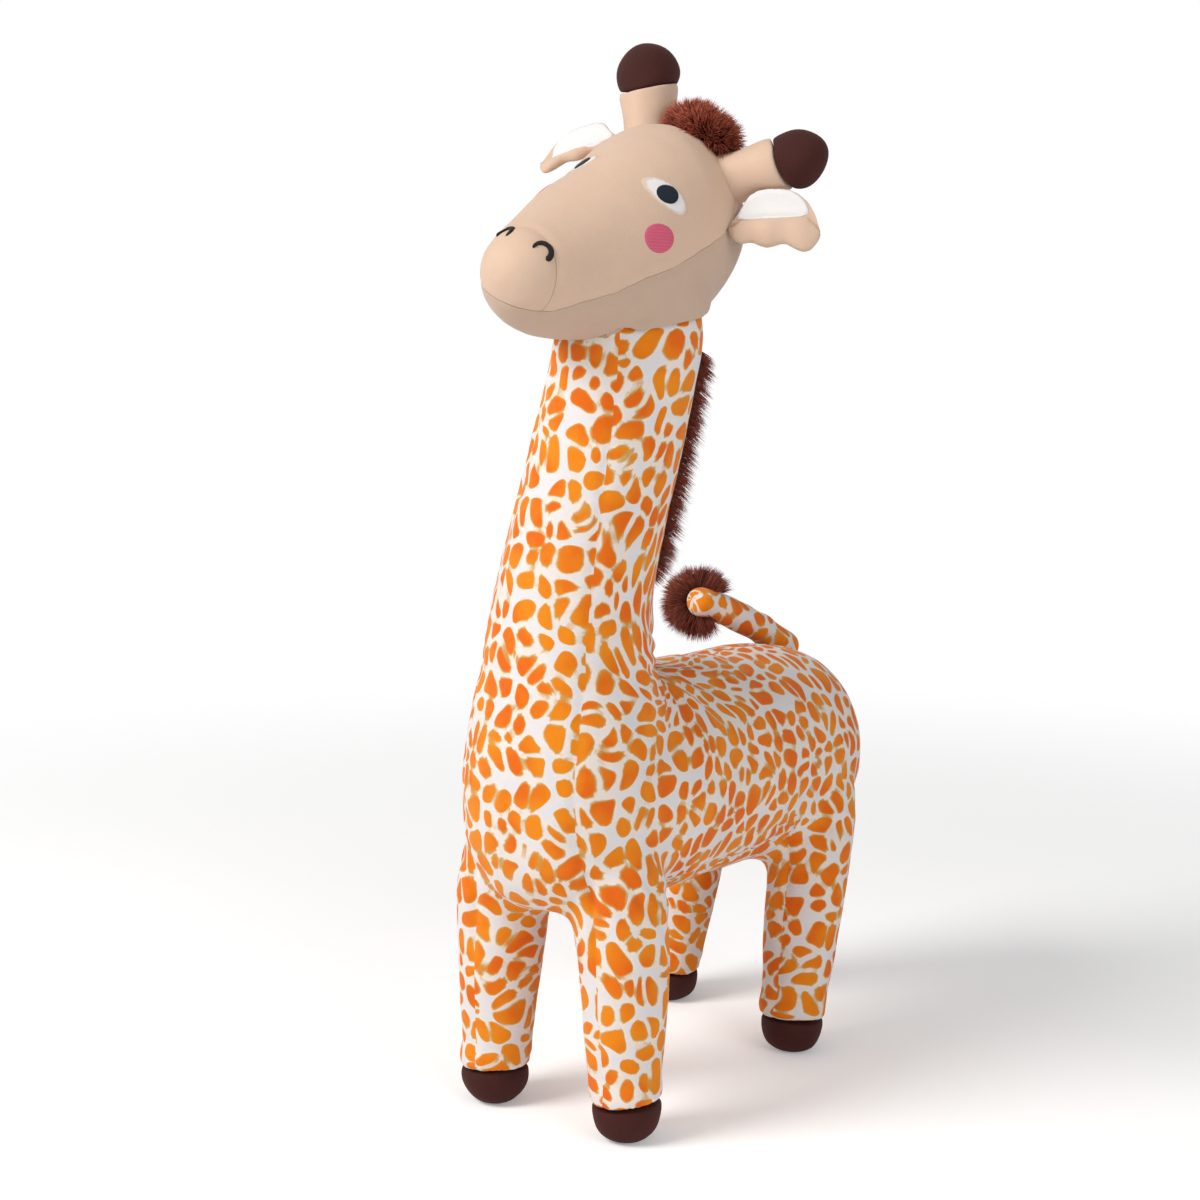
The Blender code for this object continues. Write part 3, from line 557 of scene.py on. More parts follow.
def printed_cloth(cloth):
    """White short-pile cloth, printed with close, rounded orange spots of mixed shapes.

    Each spot is a cell of a gently drifting net. The net's edge is the mean of four shifted ones,
    which rounds the corners, and the lane between the spots keeps one width.
    """
    weave = Weave("printed cloth")
    where = weave.object_place()
    flat = weave.add("ShaderNodeUVMap", uv_map="Panels").outputs["UV"]
    drift = weave.add(
        "ShaderNodeTexNoise", {"Vector": flat, "Scale": 42.0, "Detail": 0.0}, noise_dimensions="2D",
    ).outputs["Color"]
    drift = weave.vector("SUBTRACT", drift, (0.5, 0.5, 0.5))
    moved = weave.add(
        "ShaderNodeVectorMath", {0: drift, 1: (0.012, 0.012, 0), 2: flat}, operation="MULTIPLY_ADD",
    ).outputs[0]
    placed = weave.vector("MULTIPLY", moved, (1.08, 0.92, 1))
    cells = {"Scale": 1 / cloth.spot_size, "Randomness": 0.86}
    soft = 0.15 * cloth.spot_size
    edges = [
        weave.add(
            "ShaderNodeTexVoronoi", {"Vector": weave.vector("ADD", placed, (x * soft, y * soft, 0)), **cells},
            voronoi_dimensions="2D", feature="DISTANCE_TO_EDGE",
        ).outputs["Distance"]
        for x, y in ((1, 0.3), (-0.3, 1), (-1, -0.3), (0.3, -1))
    ]
    pairs = [weave.maths("ADD", first, second) for first, second in (edges[:2], edges[2:])]
    edge = weave.maths("MULTIPLY", weave.maths("ADD", *pairs), 0.25)
    centre = weave.add(
        "ShaderNodeTexVoronoi", {"Vector": placed, **cells}, voronoi_dimensions="2D", feature="F1",
    ).outputs["Distance"]
    lane = weave.maths("SUBTRACT", edge, 0.120)
    blob = weave.maths("SUBTRACT", 0.62, centre)
    rim = weave.maths("SMOOTH_MIN", lane, blob, 0.08)
    vary = weave.maths("MULTIPLY", weave.maths("SUBTRACT", weave.noise(flat, 60, 1, 0.5, "2D"), 0.5), 0.16)
    fine = weave.maths("MULTIPLY", weave.maths("SUBTRACT", weave.noise(where, 1300, 2), 0.5), 0.03)
    rim = weave.maths("ADD", weave.maths("ADD", rim, vary), fine)
    inked = weave.stretch(rim, -0.022, 0.022)
    deep = weave.stretch(rim, 0.0, 0.065)
    tone = weave.noise(where, 30, 2)
    warm = weave.mix(weave.stretch(tone, 0.35, 0.65), srgb(230, 132, 8), tuple(cloth.spot))
    colour = weave.mix(deep, tuple(cloth.halo), warm)
    halo = weave.mix(weave.stretch(rim, -0.085, -0.01, 0.0, 0.55), tuple(cloth.ground), srgb(238, 218, 196))
    colour = weave.mix(inked, halo, colour)
    shaded = shaded_by_pile(weave, where, colour, 0.05)
    return weave.finish(shaded, pile_bump(weave, where), 0.9, 0.10)


def stitched(name, colour, pitch, way, rough=0.45):
    """Close satin stitches that run along way, over the piece's own map."""
    weave = Weave(name)
    flat = weave.add("ShaderNodeUVMap", uv_map="Stitches").outputs["UV"]
    turned = weave.add(
        "ShaderNodeMapping", {"Vector": flat, "Rotation": (0, 0, way)}, vector_type="POINT",
    ).outputs[0]
    across = weave.add("ShaderNodeSeparateXYZ", {0: turned}).outputs[1]
    wander = weave.maths("MULTIPLY", weave.noise(flat, 220, 2, 0.5, "2D"), 1.4)
    phase = weave.maths("ADD", weave.maths("MULTIPLY", across, 2 * math.pi / pitch), wander)
    ridge = weave.maths("ABSOLUTE", weave.maths("SINE", weave.maths("MULTIPLY", phase, 0.5)))
    tone = weave.add("ShaderNodeRGB")
    tone.outputs[0].default_value = (*colour, 1)
    # Painted shade and painted highlight: the thread colour is darkened in the grooves between the stitches
    # and lightened on their crests.
    shade = weave.stretch(ridge, 0.0, 0.8, 0.62, 1.08)
    shaded = weave.scaled(tone.outputs[0], shade)
    return weave.finish(shaded, weave.bump(ridge, 0.00025, 0.9), rough, 0.0, specular=0.25)


def fur_material(name, colour):
    """Hair with painted shade that darkens it at its root and painted sheen that lightens its tip, each
    strand its own shade.
    """
    weave = Weave(name)
    along = weave.add("ShaderNodeAttribute", attribute_name="along").outputs["Fac"]
    shade = weave.add("ShaderNodeAttribute", attribute_name="shade").outputs["Fac"]
    # Painted shade: the root is darkened to under a third. Painted sheen: the tip is lightened.
    dark = tuple(c * 0.30 for c in colour)
    light = tuple(min(1, c * 1.65 + 0.01) for c in colour)
    body = weave.mix(weave.stretch(along, 0.05, 0.75, smooth=False), dark, colour)
    tipped = weave.mix(weave.stretch(along, 0.55, 1.0, 0.0, 0.55), body, light)
    shaded = weave.scaled(tipped, weave.stretch(shade, 0.0, 1.0, 0.65, 1.3, smooth=False))
    return weave.finish(shaded, None, 0.6, 0.0, specular=0.35)


# ---- the sewn cover ----


def middle_line(z):
    """The toy's middle line at heights z: x and y."""
    heights, lean_x, lean_y = (np.array(column) for column in zip(*NECK_LINE))
    top = PIVOTS["head_nod"] - PIVOTS["neck_bend"]
    base = PIVOTS["neck_bend"]
    return base.x + top.x * np.interp(z, heights, lean_x), base.y + top.y * np.interp(z, heights, lean_y)


def panel_seam(points, side):
    """How far from the middle line the front and belly panel ends, on one side of the toy."""
    y, z = points[..., 1], points[..., 2]
    heights, offsets = (np.array(column) for column in zip(*FRONT_SEAM))
    front = np.interp(z, heights, offsets)
    hand = "left" if side > 0 else "right"
    low = np.clip((BELLY_Z - z) / BELLY_Z, 0, 1)
    ends = [
        LEG_TOP_OFFSET[end] * (1 - low) + abs(FEET[f"{end}_{hand}"].x - BODY_X) * low
        for end in ("front", "hind")
    ]
    back = np.clip((y + 0.05) / 0.13, 0, 1)
    legs = ends[0] * (1 - back) + ends[1] * back
    rump = np.clip((y - 0.10) / 0.04, 0, 1)
    legs = legs * (1 - rump * np.clip((z - 0.13) / 0.06, 0, 1))
    return np.where(z > BELLY_Z, np.where(y > 0, 0.0, front), legs)


def panel_of(points):
    """Which panel each point is on: 0 front and belly, 1 left side, 2 right side."""
    middle, centre = middle_line(points[..., 2])
    across = points[..., 0] - middle
    inside = np.where(across > 0, across < panel_seam(points, 1), -across < panel_seam(points, -1))
    ahead = (points[..., 1] < centre) | (points[..., 2] < BELLY_Z)
    return np.where(inside & ahead, 0, np.where(across > 0, 1, 2))


def split_cover(item):
    """Cut the skin's faces along the lines where its panels are sewn together."""
    bm = bmesh.new()
    bm.from_mesh(item.data)
    for side in (0, 1, -1):

        def shift(point):
            middle, _ = middle_line(point[2])
            return middle + side * (panel_seam(np.array(point), side) if side else 0)

        for vert in bm.verts:
            vert.co.x -= shift(vert.co)
        faces = []
        for face in bm.faces:
            centre = face.calc_center_median()
            ahead = centre.y < middle_line(centre.z)[1] or centre.z < BELLY_Z
            if (side == 0 and not (ahead and centre.z > 0.16)) or (side != 0 and ahead):
                faces.append(face)
        geometry = set(faces)
        for face in faces:
            geometry.update(face.edges)
            geometry.update(face.verts)
        bmesh.ops.bisect_plane(bm, geom=list(geometry), dist=0.0006, plane_co=(0, 0, 0), plane_no=(1, 0, 0))
        for vert in bm.verts:
            vert.co.x += shift(vert.co)
    bm.to_mesh(item.data)
    bm.free()


def flatten_panels(item):
    """Unfold each panel as the flat cloth it was cut from, in metres, and keep that as a map."""
    bm = bmesh.new()
    bm.from_mesh(item.data)
    bm.faces.ensure_lookup_table()
    centres = np.array([face.calc_center_median() for face in bm.faces])
    panels = panel_of(centres)
    for edge in bm.edges:
        sides = {panels[face.index] for face in edge.link_faces}
        edge.seam = len(sides) > 1
    bm.to_mesh(item.data)
    bm.free()
    item.data.uv_layers.new(name="Panels")
    only(item)
    bpy.ops.object.mode_set(mode="EDIT")
    bpy.ops.mesh.select_all(action="SELECT")
    bpy.ops.uv.unwrap(method="MINIMUM_STRETCH", fill_holes=False, margin=0.01, iterations=12)
    bpy.ops.object.mode_set(mode="OBJECT")
    bm = bmesh.new()
    bm.from_mesh(item.data)
    layer = bm.loops.layers.uv["Panels"]
    seen = set()
    island = 0
    for start in bm.faces:
        if start in seen:
            continue
        group, todo = [], [start]
        seen.add(start)
        while todo:
            face = todo.pop()
            group.append(face)
            for edge in face.edges:
                if not edge.seam:
                    for other in edge.link_faces:
                        if other not in seen:
                            seen.add(other)
                            todo.append(other)
        loops = [loop for face in group for loop in face.loops]
        flat = np.array([loop[layer].uv for loop in loops])
        solid = np.array([loop.vert.co for loop in loops])
        real = sum(face.calc_area() for face in group)
        drawn = sum(flat_area([loop[layer].uv for loop in face.loops]) for face in group)
        flat = (flat - flat.mean(0)) * math.sqrt(real / max(drawn, 1e-12))
        slope = np.linalg.lstsq(np.c_[flat, np.ones(len(flat))], solid[:, 2], rcond=None)[0][:2]
        turn = math.atan2(slope[0], slope[1])
        c, s = math.cos(turn), math.sin(turn)
        flat = flat @ np.array(((c, s), (-s, c)))
        flat = gather_at_withers(flat, solid)
        flat = flat + (0.37 * island, 0.21 * island)
        for loop, place in zip(loops, flat):
            loop[layer].uv = place
        island += 1
    bm.to_mesh(item.data)
    bm.free()


def flat_area(corners):
    """The area of a flat outline."""
    total = 0.0
    for a, b in zip(corners, corners[1:] + corners[:1]):
        total += a[0] * b[1] - a[1] * b[0]
    return abs(total) / 2


# Where the neck's back meets the torso, and the left shoulder below it
WITHERS = (-0.0288, -0.040, 0.288)
SHOULDER = (0.043, -0.010, 0.200)


def gather_at_withers(flat, solid):
    """Squeeze the print sideways where the neck's back meets the torso, so it fans out in thin streaks."""
    corner_far = np.linalg.norm(solid - WITHERS, axis=1)
    if corner_far.min() > 0.012:
        return flat
    corner = flat[corner_far.argmin()]
    across = solid[:, 0].mean() - BODY_X
    shoulder = np.array(SHOULDER)
    if across < 0:
        shoulder[0] = 2 * BODY_X - shoulder[0]
    aim = flat[np.linalg.norm(solid - shoulder, axis=1).argmin()] - corner
    away = flat - corner
    far = np.linalg.norm(away, axis=1)
    start = math.atan2(aim[1], aim[0])
    angle = np.arctan2(away[:, 1], away[:, 0]) - start
    angle = (angle + math.pi) % (2 * math.pi) - math.pi
    angle = angle * (1 + 1.5 * bell(far, 0.060)) + start
    return corner + far[:, None] * np.c_[np.cos(angle), np.sin(angle)]


def cover_relief(points):
    """How far each point of the cover stands in or out: sewn seams, gathers and slack folds."""
    middle, centre = middle_line(points[:, 2])
    across = points[:, 0] - middle
    y, z = points[:, 1], points[:, 2]
    ahead = (y < centre) | (z < BELLY_Z)
    height = 0.0010 * waves(points, 0.075, 3) + 0.0004 * waves(points, 0.028, 4)
    # the side seams of the front and belly panel
    off = np.where(across > 0, across - panel_seam(points, 1), -across - panel_seam(points, -1))
    gap = np.where(ahead, np.abs(off), 1.0)
    belly = np.clip((0.19 - z) / 0.03, 0, 1) * np.clip((z - 0.10) / 0.03, 0, 1)
    groove = 0.0008 + 0.0012 * belly
    height -= groove * bell(gap, SEAM_SPREAD)
    run = np.where(z > 0.17, z, y)
    pucker = np.sin(run * 2 * math.pi / 0.0095 + 2 * waves(points, 0.05, 5))
    height += (0.00018 + 0.0007 * belly) * pucker * bell(gap, 0.008)
    # the seam down the neck's back, along the back and over the rump
    back = np.where(~ahead, np.abs(across), 1.0)
    height -= 0.0010 * bell(back, SEAM_SPREAD)
    height += 0.0003 * np.sin(y * 2 * math.pi / 0.010) * bell(back, 0.010)
    # slack folds that fan out from the withers
    away = points - WITHERS
    far = np.linalg.norm(away, axis=1)
    angle = np.arctan2(away[:, 2], away[:, 1])
    fan = np.sin(angle * 15 + 1.5 * waves(points, 0.06, 6))
    height += 0.0011 * fan * bell(far - 0.045, 0.028)
    # the chest's gathers above the front legs, and the folds where each leg leaves the body
    for name, foot in FEET.items():
        top = 0.150 if name.startswith("front") else 0.160
        round_leg = np.hypot(points[:, 0] - foot.x, y - foot.y) / 0.055
        ring = bell(z - top, 0.016) * np.exp(-(round_leg ** 4))
        turn = np.arctan2(y - foot.y, points[:, 0] - foot.x)
        height += 0.0009 * ring * np.sin(turn * 9 + z * 260 + 1.5 * waves(points, 0.05, 8))
    # a little fullness over each hoof, and the tuck at its seam
    height += 0.0009 * bell(z - HOOF_TOP - 0.010, 0.006)
    height -= 0.0010 * bell(z - HOOF_TOP, 0.0022)
    return height


def hoof_wave(points):
    """How far the hoof seam rises or falls round each leg."""
    lift = np.zeros(len(points))
    for number, foot in enumerate(FEET.values()):
        near = np.hypot(points[:, 0] - foot.x, points[:, 1] - foot.y) < 0.036
        turn = np.arctan2(points[:, 1] - foot.y, points[:, 0] - foot.x)
        wave = 0.0011 * np.cos(turn + 1.1 * number) + 0.0006 * np.cos(2 * turn + number)
        wave += 0.0003 * np.sin(5 * turn)
        lift += np.where(near, wave * bell(points[:, 2] - HOOF_TOP, 0.009), 0)
    return lift


def square_feet(points):
    """Each leg's cloth drawn out to its full width, down to the hoof's seam."""
    for name, foot in FEET.items():
        low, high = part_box(name + "_hoof")
        half = (high.x - low.x) / 2
        away = points[:, :2] - (foot.x, foot.y)
        far = np.hypot(away[:, 0], away[:, 1])
        near = (far < half * 1.3) & (points[:, 2] < HOOF_TOP + 0.016)
        fade = np.clip((HOOF_TOP + 0.016 - points[:, 2]) / 0.008, 0, 1)
        out = np.clip((far / half - 0.55) / 0.25, 0, 1) * fade * near
        reach = far + np.maximum(half * 1.035 - far, 0) * out
        points[:, :2] += away * (reach / np.maximum(far, 1e-6) - 1)[:, None]
    return points


# How far the stuffing pushes the cover out, and the height from which the neck stays snug under the head
COVER_PUFF = 0.004
NECK_SNUG_Z = 0.485


class GIRAFFE_OT_cover(bpy.types.Operator):
    """Sew the printed cover over the torso, neck and legs"""

    bl_idname = "giraffe.cover"
    bl_label = "Printed Cover"

    def execute(self, context):
        cloth = context.scene.giraffe_cloth
        nodes = ["torso", "neck"] + [name + "_leg" for name in FEET]
        item = skin_over("cover", nodes, cloth.voxel, 14)
        height = points_of(item)[:, 2]
        stuff(item, COVER_PUFF * np.clip((NECK_SNUG_Z - height) / 0.030, 0.05, 1))
        split_cover(item)
        flatten_panels(item)
        subdivide(item, 1)
        points, normals = square_feet(points_of(item)), normals_of(item)
        points = points + normals * cover_relief(points)[:, None]
        points[:, 2] += hoof_wave(points)
        place_points(item, points)
        finish_piece(item, None, printed_cloth(cloth), nodes)
        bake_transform(item)
        return {"FINISHED"}


# ---- round forms ----


def tube(name, rings):
    """A skin over rows of points, with a fan of faces on each end."""
    bm = bmesh.new()
    rows = [[bm.verts.new(point) for point in ring] for ring in rings]
    for low, high in zip(rows, rows[1:]):
        for i in range(len(low)):
            j = (i + 1) % len(low)
            bm.faces.new((low[i], low[j], high[j], high[i]))
    for row in (rows[0], rows[-1]):
        middle = bm.verts.new(sum((vert.co for vert in row), Vector()) / len(row))
        for i in range(len(row)):
            bm.faces.new((row[i], row[(i + 1) % len(row)], middle))
    bmesh.ops.recalc_face_normals(bm, faces=bm.faces)
    return new_object(name, bm)


def turned(forward, up):
    """A rotation whose Z looks along forward and whose Y leans to up."""
    z = Vector(forward).normalized()
    x = Vector(up).cross(z).normalized()
    return Matrix((x, z.cross(x), z)).transposed()


# The hoof from its sole up, as shares of its height and half width
HOOF_SHAPE = (
    (0.000, 0.20), (0.000, 0.36), (0.012, 0.45), (0.05, 0.56), (0.12, 0.68), (0.22, 0.79), (0.36, 0.88),
    (0.52, 0.945), (0.68, 0.98), (0.82, 0.99), (0.93, 0.98), (0.985, 0.95), (0.998, 0.90), (0.998, 0.45),
)


class GIRAFFE_OT_hooves(bpy.types.Operator):
    """Sew a dark cap on the foot of each leg"""

    bl_idname = "giraffe.hooves"
    bl_label = "Hooves"

    def execute(self, context):
        cloth = context.scene.giraffe_cloth
        material = plain_cloth("dark brown cloth", tuple(cloth.brown), 0.85, 0.05, srgb(200, 90, 70), 0.16)
        for name, foot in FEET.items():
            low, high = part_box(name + "_hoof")
            half = (high.x - low.x) / 2
            rings = []
            for share, wide in HOOF_SHAPE:
                ring = []
                for i in range(48):
                    turn = 2 * math.pi * i / 48
                    ring.append((
                        foot.x + half * wide * math.cos(turn), foot.y + half * wide * math.sin(turn),
                        low.z + (high.z - low.z) * share,
                    ))
                rings.append(ring)
            item = tube(name + "_hoof_cap", rings)
            subdivide(item, 2)
            points, normals = points_of(item), normals_of(item)
            soft = np.clip(points[:, 2] / 0.004, 0, 1)
            points = points + normals * (0.0005 * waves(points, 0.022, 11) * soft)[:, None]
            points[:, 2] = np.maximum(points[:, 2] + hoof_wave(points), 0)
            place_points(item, points)
            finish_piece(item, "body", material, [name + "_hoof"])
        return {"FINISHED"}


# ---- the head ----


def in_head(points):
    """Points of the toy in the head's own frame."""
    return (np.asarray(points) - np.array(HEAD_CENTRE)) @ np.array(HEAD_TURN)


# The seam over the jaw: its slope, its way down, and its height over the head's centre
SEAM_SLOPE = math.radians(34)
JAW_DOWN = np.array((0, math.sin(SEAM_SLOPE), -math.cos(SEAM_SLOPE)))
JAW_AT = 0.008
MUZZLE_AT = 0.0185 - 0.1886 / 2
# Where the jaw's seam turns flatter to run round the front as the mouth
MOUTH_AT = (-0.0703, -0.0394)
MOUTH_SLOPE = math.tan(math.radians(17.5))
# Each eye: where it is along the head, how far round from its top in degrees, and how deep it lies
EYES = {1: (-0.0114, 38, 0.0012), -1: (-0.0080, 47, 0.0060)}


def mouth_rise(y):
    """How far the seam over the jaw lies above its straight run, at y in the head's frame."""
    straight = JAW_AT + math.tan(SEAM_SLOPE) * y
    mouth = MOUTH_AT[1] + MOUTH_SLOPE * (y - MOUTH_AT[0])
    over = mouth - straight
    height = 0.5 * (over + np.sqrt(over * over + 0.002 ** 2)) - 0.0002
    return height + 0.0006 * np.sin(y * 2 * math.pi / 0.034)


def head_relief(points):
    """Where the head's skin is drawn in by its seams and round its eyes, and its soft unevenness."""
    own = in_head(points)
    level = own[:, 2] - mouth_rise(own[:, 1])
    jaw = own[:, 1] * JAW_DOWN[1] + (level - JAW_AT) * JAW_DOWN[2]
    muzzle = own[:, 1] - MUZZLE_AT
    height = 0.0006 * waves(points, 0.06, 21)
    front = np.clip((own[:, 1] + 0.060) / -0.012, 0, 1)
    height -= (0.0011 - 0.0005 * front) * bell(jaw, 0.0024)
    height += 0.0002 * np.sin(own[:, 1] * 2 * math.pi / 0.011) * bell(jaw, 0.008)
    height -= np.where(jaw < 0.001, 0.0008 * bell(muzzle, 0.0022), 0)
    for side, (y, angle, depth) in EYES.items():
        eye = in_head(on_head(y, math.radians(angle), side)[0])
        height -= depth * bell(np.linalg.norm(own - eye, axis=1), 0.024)
    return height


def cut_piece(item, name, cuts):
    """A copy of the skin kept on the far side of each cut, and closed there."""
    bm = bmesh.new()
    bm.from_mesh(item.data)
    up = HEAD_TURN @ Vector((0, 0, 1))

    def lift(vert):
        return up * float(mouth_rise((HEAD_TURN.transposed() @ (vert.co - HEAD_CENTRE)).y))

    for vert in bm.verts:
        vert.co -= lift(vert)
    for point, out in cuts:
        geometry = list(bm.verts) + list(bm.edges) + list(bm.faces)
        done = bmesh.ops.bisect_plane(
            bm, geom=geometry, dist=0.00005, plane_co=point, plane_no=out, clear_inner=True,
        )
        rim = [edge for edge in done["geom_cut"] if isinstance(edge, bmesh.types.BMEdge)]
        bmesh.ops.holes_fill(bm, edges=rim, sides=0)
    for vert in bm.verts:
        vert.co += lift(vert)
    bmesh.ops.triangulate(bm, faces=[face for face in bm.faces if len(face.verts) > 4])
    bmesh.ops.recalc_face_normals(bm, faces=bm.faces)
    return new_object(name, bm)


def collar_form():
    """The jaw's rim round the neck's top, closed: low at its front right and high at its back left."""
    base, top = PIVOTS["neck_bend"], PIVOTS["head_nod"]
    axis = (top - base).normalized()
    high = Vector((math.cos(COLLAR_TURN), math.sin(COLLAR_TURN), 0))
    high = (high - axis * high.dot(axis)).normalized()
    level = Matrix((high, axis.cross(high), axis)).transposed()
    leaning = level @ Matrix.Rotation(-COLLAR_TILT, 3, "Y")
    rows = (
        (top + axis * 0.003 - high * 0.0030, leaning, COLLAR_HALF / math.cos(COLLAR_TILT), COLLAR_HALF),
        (top + axis * 0.034, level, 0.0455, 0.0455),
        (top + axis * 0.0455, level, 0.0320, 0.0320),
    )
    bm = bmesh.new()
    rings = []
    for centre, turn, long, wide in rows:
        rings.append([
            bm.verts.new(centre + turn @ Vector((long * math.cos(a), wide * math.sin(a), 0)))
            for a in np.linspace(0, 2 * math.pi, 64, endpoint=False)
        ])
    for low_ring, high_ring in zip(rings, rings[1:]):
        for i in range(64):
            j = (i + 1) % 64
            bm.faces.new((low_ring[i], low_ring[j], high_ring[j], high_ring[i]))
    bm.faces.new(rings[0])
    bm.faces.new(rings[-1])
    bmesh.ops.triangulate(bm, faces=bm.faces)
    bmesh.ops.recalc_face_normals(bm, faces=bm.faces)
    return bm


def seat_for_neck(points, normals):
    """The skin's underside drawn up over the neck's domed top, so the jaw's rim stands round it."""
    base, top = (np.array(PIVOTS[name]) for name in ("neck_bend", "head_nod"))
    axis = (top - base) / np.linalg.norm(top - base)
    along = (points - top) @ axis
    out = np.linalg.norm(points - top - along[:, None] * axis, axis=1)
    dome = np.sqrt(np.maximum(NECK_DOME ** 2 - out ** 2, 0))
    under = (out < NECK_DOME - 0.0003) & (normals @ axis < -0.2) & (along < 0.032)
    rise = np.where(under, np.maximum(dome - along, 0), 0)
    return points + rise[:, None] * axis


# The head's skin cell, how far the stuffing pushes it out, and half the gap at its seams
HEAD_CELL = 0.0035
HEAD_PUFF = 0.0025
SEAM_GAP = 0.00015


class GIRAFFE_OT_head(bpy.types.Operator):
    """Sew the head from its top, jaw and muzzle panels"""

    bl_idname = "giraffe.head"
    bl_label = "Head"

    def execute(self, context):
        cloth = context.scene.giraffe_cloth
        skin = skin_over(
            "head_skin", ["head", "jaw", "muzzle"], HEAD_CELL, 6, collar_form(), (PIVOTS["head_nod"], 0.054),
        )
        stuff(skin, HEAD_PUFF)
        subdivide(skin, 1)
        points, normals = points_of(skin), normals_of(skin)
        place_points(skin, seat_for_neck(points + normals * head_relief(points)[:, None], normals))
        down = HEAD_TURN @ Vector(JAW_DOWN)
        seam = HEAD_CENTRE + HEAD_TURN @ Vector((0, 0, JAW_AT))
        back = HEAD_TURN @ Vector((0, 1, 0))
        joint = HEAD_CENTRE + HEAD_TURN @ Vector((0, MUZZLE_AT, 0))
        lint = {"amount": 0.035, "soft": 0.0002}
        tan = plain_cloth("tan cloth", tuple(cloth.tan), 0.62, 0.30, srgb(255, 240, 230), **lint)
        # The underside cloth is partly painted shade: darker than the tan as well as a little greyer.
        under = plain_cloth("underside cloth", tuple(cloth.under), 0.66, 0.25, srgb(255, 240, 235), **lint)
        over = (seam - down * SEAM_GAP, -down)
        pieces = (
            ("head_panel", "head", tan, "tan_cloth", (over, (joint + back * SEAM_GAP, back))),
            ("jaw_panel", "jaw", under, "underside_cloth", ((seam + down * SEAM_GAP, down),)),
            ("muzzle_panel", "muzzle", tan, "tan_cloth", (over, (joint - back * SEAM_GAP, -back))),
        )
        for name, node, material, slot, cuts in pieces:
            item = cut_piece(skin, name, cuts)
            finish_piece(item, "head", material, [node], angle=45)
        bpy.data.objects.remove(skin)
        return {"FINISHED"}


def head_tree():
    """The dressed head's surface, for pieces that lie on it."""
    bm = bmesh.new()
    for name in ("head_panel", "muzzle_panel", "jaw_panel"):
        bm.from_mesh(bpy.data.objects[name].data)
    tree = BVHTree.FromBMesh(bm)
    bm.free()
    return tree


def patch(name, tree, centre, turn, outline, rise, base):
    """A sewn or stitched pad that lies on the surface: outline(way) gives its half size towards each way."""
    bm = bmesh.new()
    layer = bm.loops.layers.uv.new("Stitches")
    rings, around = 16, 72
    out = turn @ Vector((0, 0, 1))
    tops, lows, flats = [], [], {}
    for k in range(rings + 1):
        share = k / rings
        profile = rise * (1 - share ** 4) ** 0.5
        top_row, low_row = [], []
        for i in range(1 if k == 0 else around):
            way = 2 * math.pi * i / around
            reach = outline(way) * share
            flat = Vector((math.cos(way) * reach, math.sin(way) * reach, 0))
            start = centre + turn @ flat + out * 0.03
            near = tree.ray_cast(start, -out)[0]
            if near is None:
                near = tree.find_nearest(centre + turn @ flat)[0]
            vert = bm.verts.new(near + out * (base + profile))
            flats[vert] = flat
            top_row.append(vert)
            vert = bm.verts.new(near - out * 0.0006)
            flats[vert] = flat
            low_row.append(vert)
        tops.append(top_row)
        lows.append(low_row)
    for rows in (tops, lows):
        for i in range(around):
            j = (i + 1) % around
            bm.faces.new((rows[0][0], rows[1][i], rows[1][j]))
            for inner, outer in zip(rows[1:], rows[2:]):
                bm.faces.new((inner[i], outer[i], outer[j], inner[j]))
    for i in range(around):
        j = (i + 1) % around
        bm.faces.new((tops[-1][i], lows[-1][i], lows[-1][j], tops[-1][j]))
    bmesh.ops.recalc_face_normals(bm, faces=bm.faces)
    for face in bm.faces:
        for loop in face.loops:
            loop[layer].uv = flats[loop.vert].xy
    return new_object(name, bm)


def oval(long, wide):
    """The half size of an oval towards each way."""
    return lambda way: 1 / math.hypot(math.cos(way) / (long / 2), math.sin(way) / (wide / 2))


# The head's length, and its half width and height along it as shares of the full ones
HEAD_LENGTH = 0.1886
HEAD_SHARES = (
    (0.000, 0.10), (0.012, 0.26), (0.040, 0.46), (0.090, 0.66), (0.200, 0.88), (0.350, 0.98), (0.500, 1.00),
    (0.650, 1.00), (0.800, 0.90), (0.910, 0.66), (0.965, 0.43), (0.990, 0.24), (1.000, 0.10),
)


def on_head(y, angle, side, out=0.0):
    """A point on the head at y, angle round from its top, and the outward direction there."""
    share = y / HEAD_LENGTH + 1 / 2
    shares, swells = zip(*HEAD_SHARES)
    swell = float(np.interp(share, shares, swells))
    t = min(max((share - 0.10) / 0.55, 0), 1)
    blend = t * t * (3 - 2 * t)
    half_width = (0.0804 + (0.1146 - 0.0804) * blend) / 2 * swell
    half_height = (0.0808 + (0.1288 - 0.0808) * blend) / 2 * swell
    lift = -0.0298 + (0.0047 + 0.0298) * blend
    across = Vector((math.sin(angle) / half_width, 0, math.cos(angle) / half_height)).normalized()
    across.x *= side
    point = Vector((side * half_width * math.sin(angle), y, lift + half_height * math.cos(angle)))
    return HEAD_CENTRE + HEAD_TURN @ (point + across * out), HEAD_TURN @ across


def face_turn(normal, lead):
    """A rotation whose Z leaves the face and whose X runs towards lead."""
    z = normal.normalized()
    y = z.cross(lead).normalized()
    return Matrix((y.cross(z), y, z)).transposed()


EYE_SIZE = (0.0300, 0.0132)
EYE_LEAN = math.radians(28)
PUPIL_SIZE = (0.0124, 0.0104)
CHEEK_SIZE = 0.0165
# Where the cheeks lie along the head, and how far round from its top in degrees
CHEEK_Y = -0.0203
CHEEK_ROUND = {1: 61, -1: 71}
# The stitched arc of a nostril: its radius, half its width, its sweep, and where each one starts
NOSTRIL_ARC = (0.0053, 0.0017, math.radians(228))
NOSTRIL_START = {1: -22, -1: -26}
NOSTRIL_SPOTS = {"left": (0.0130, -0.0808, -0.0108), "right": (-0.0158, -0.0808, -0.0120)}


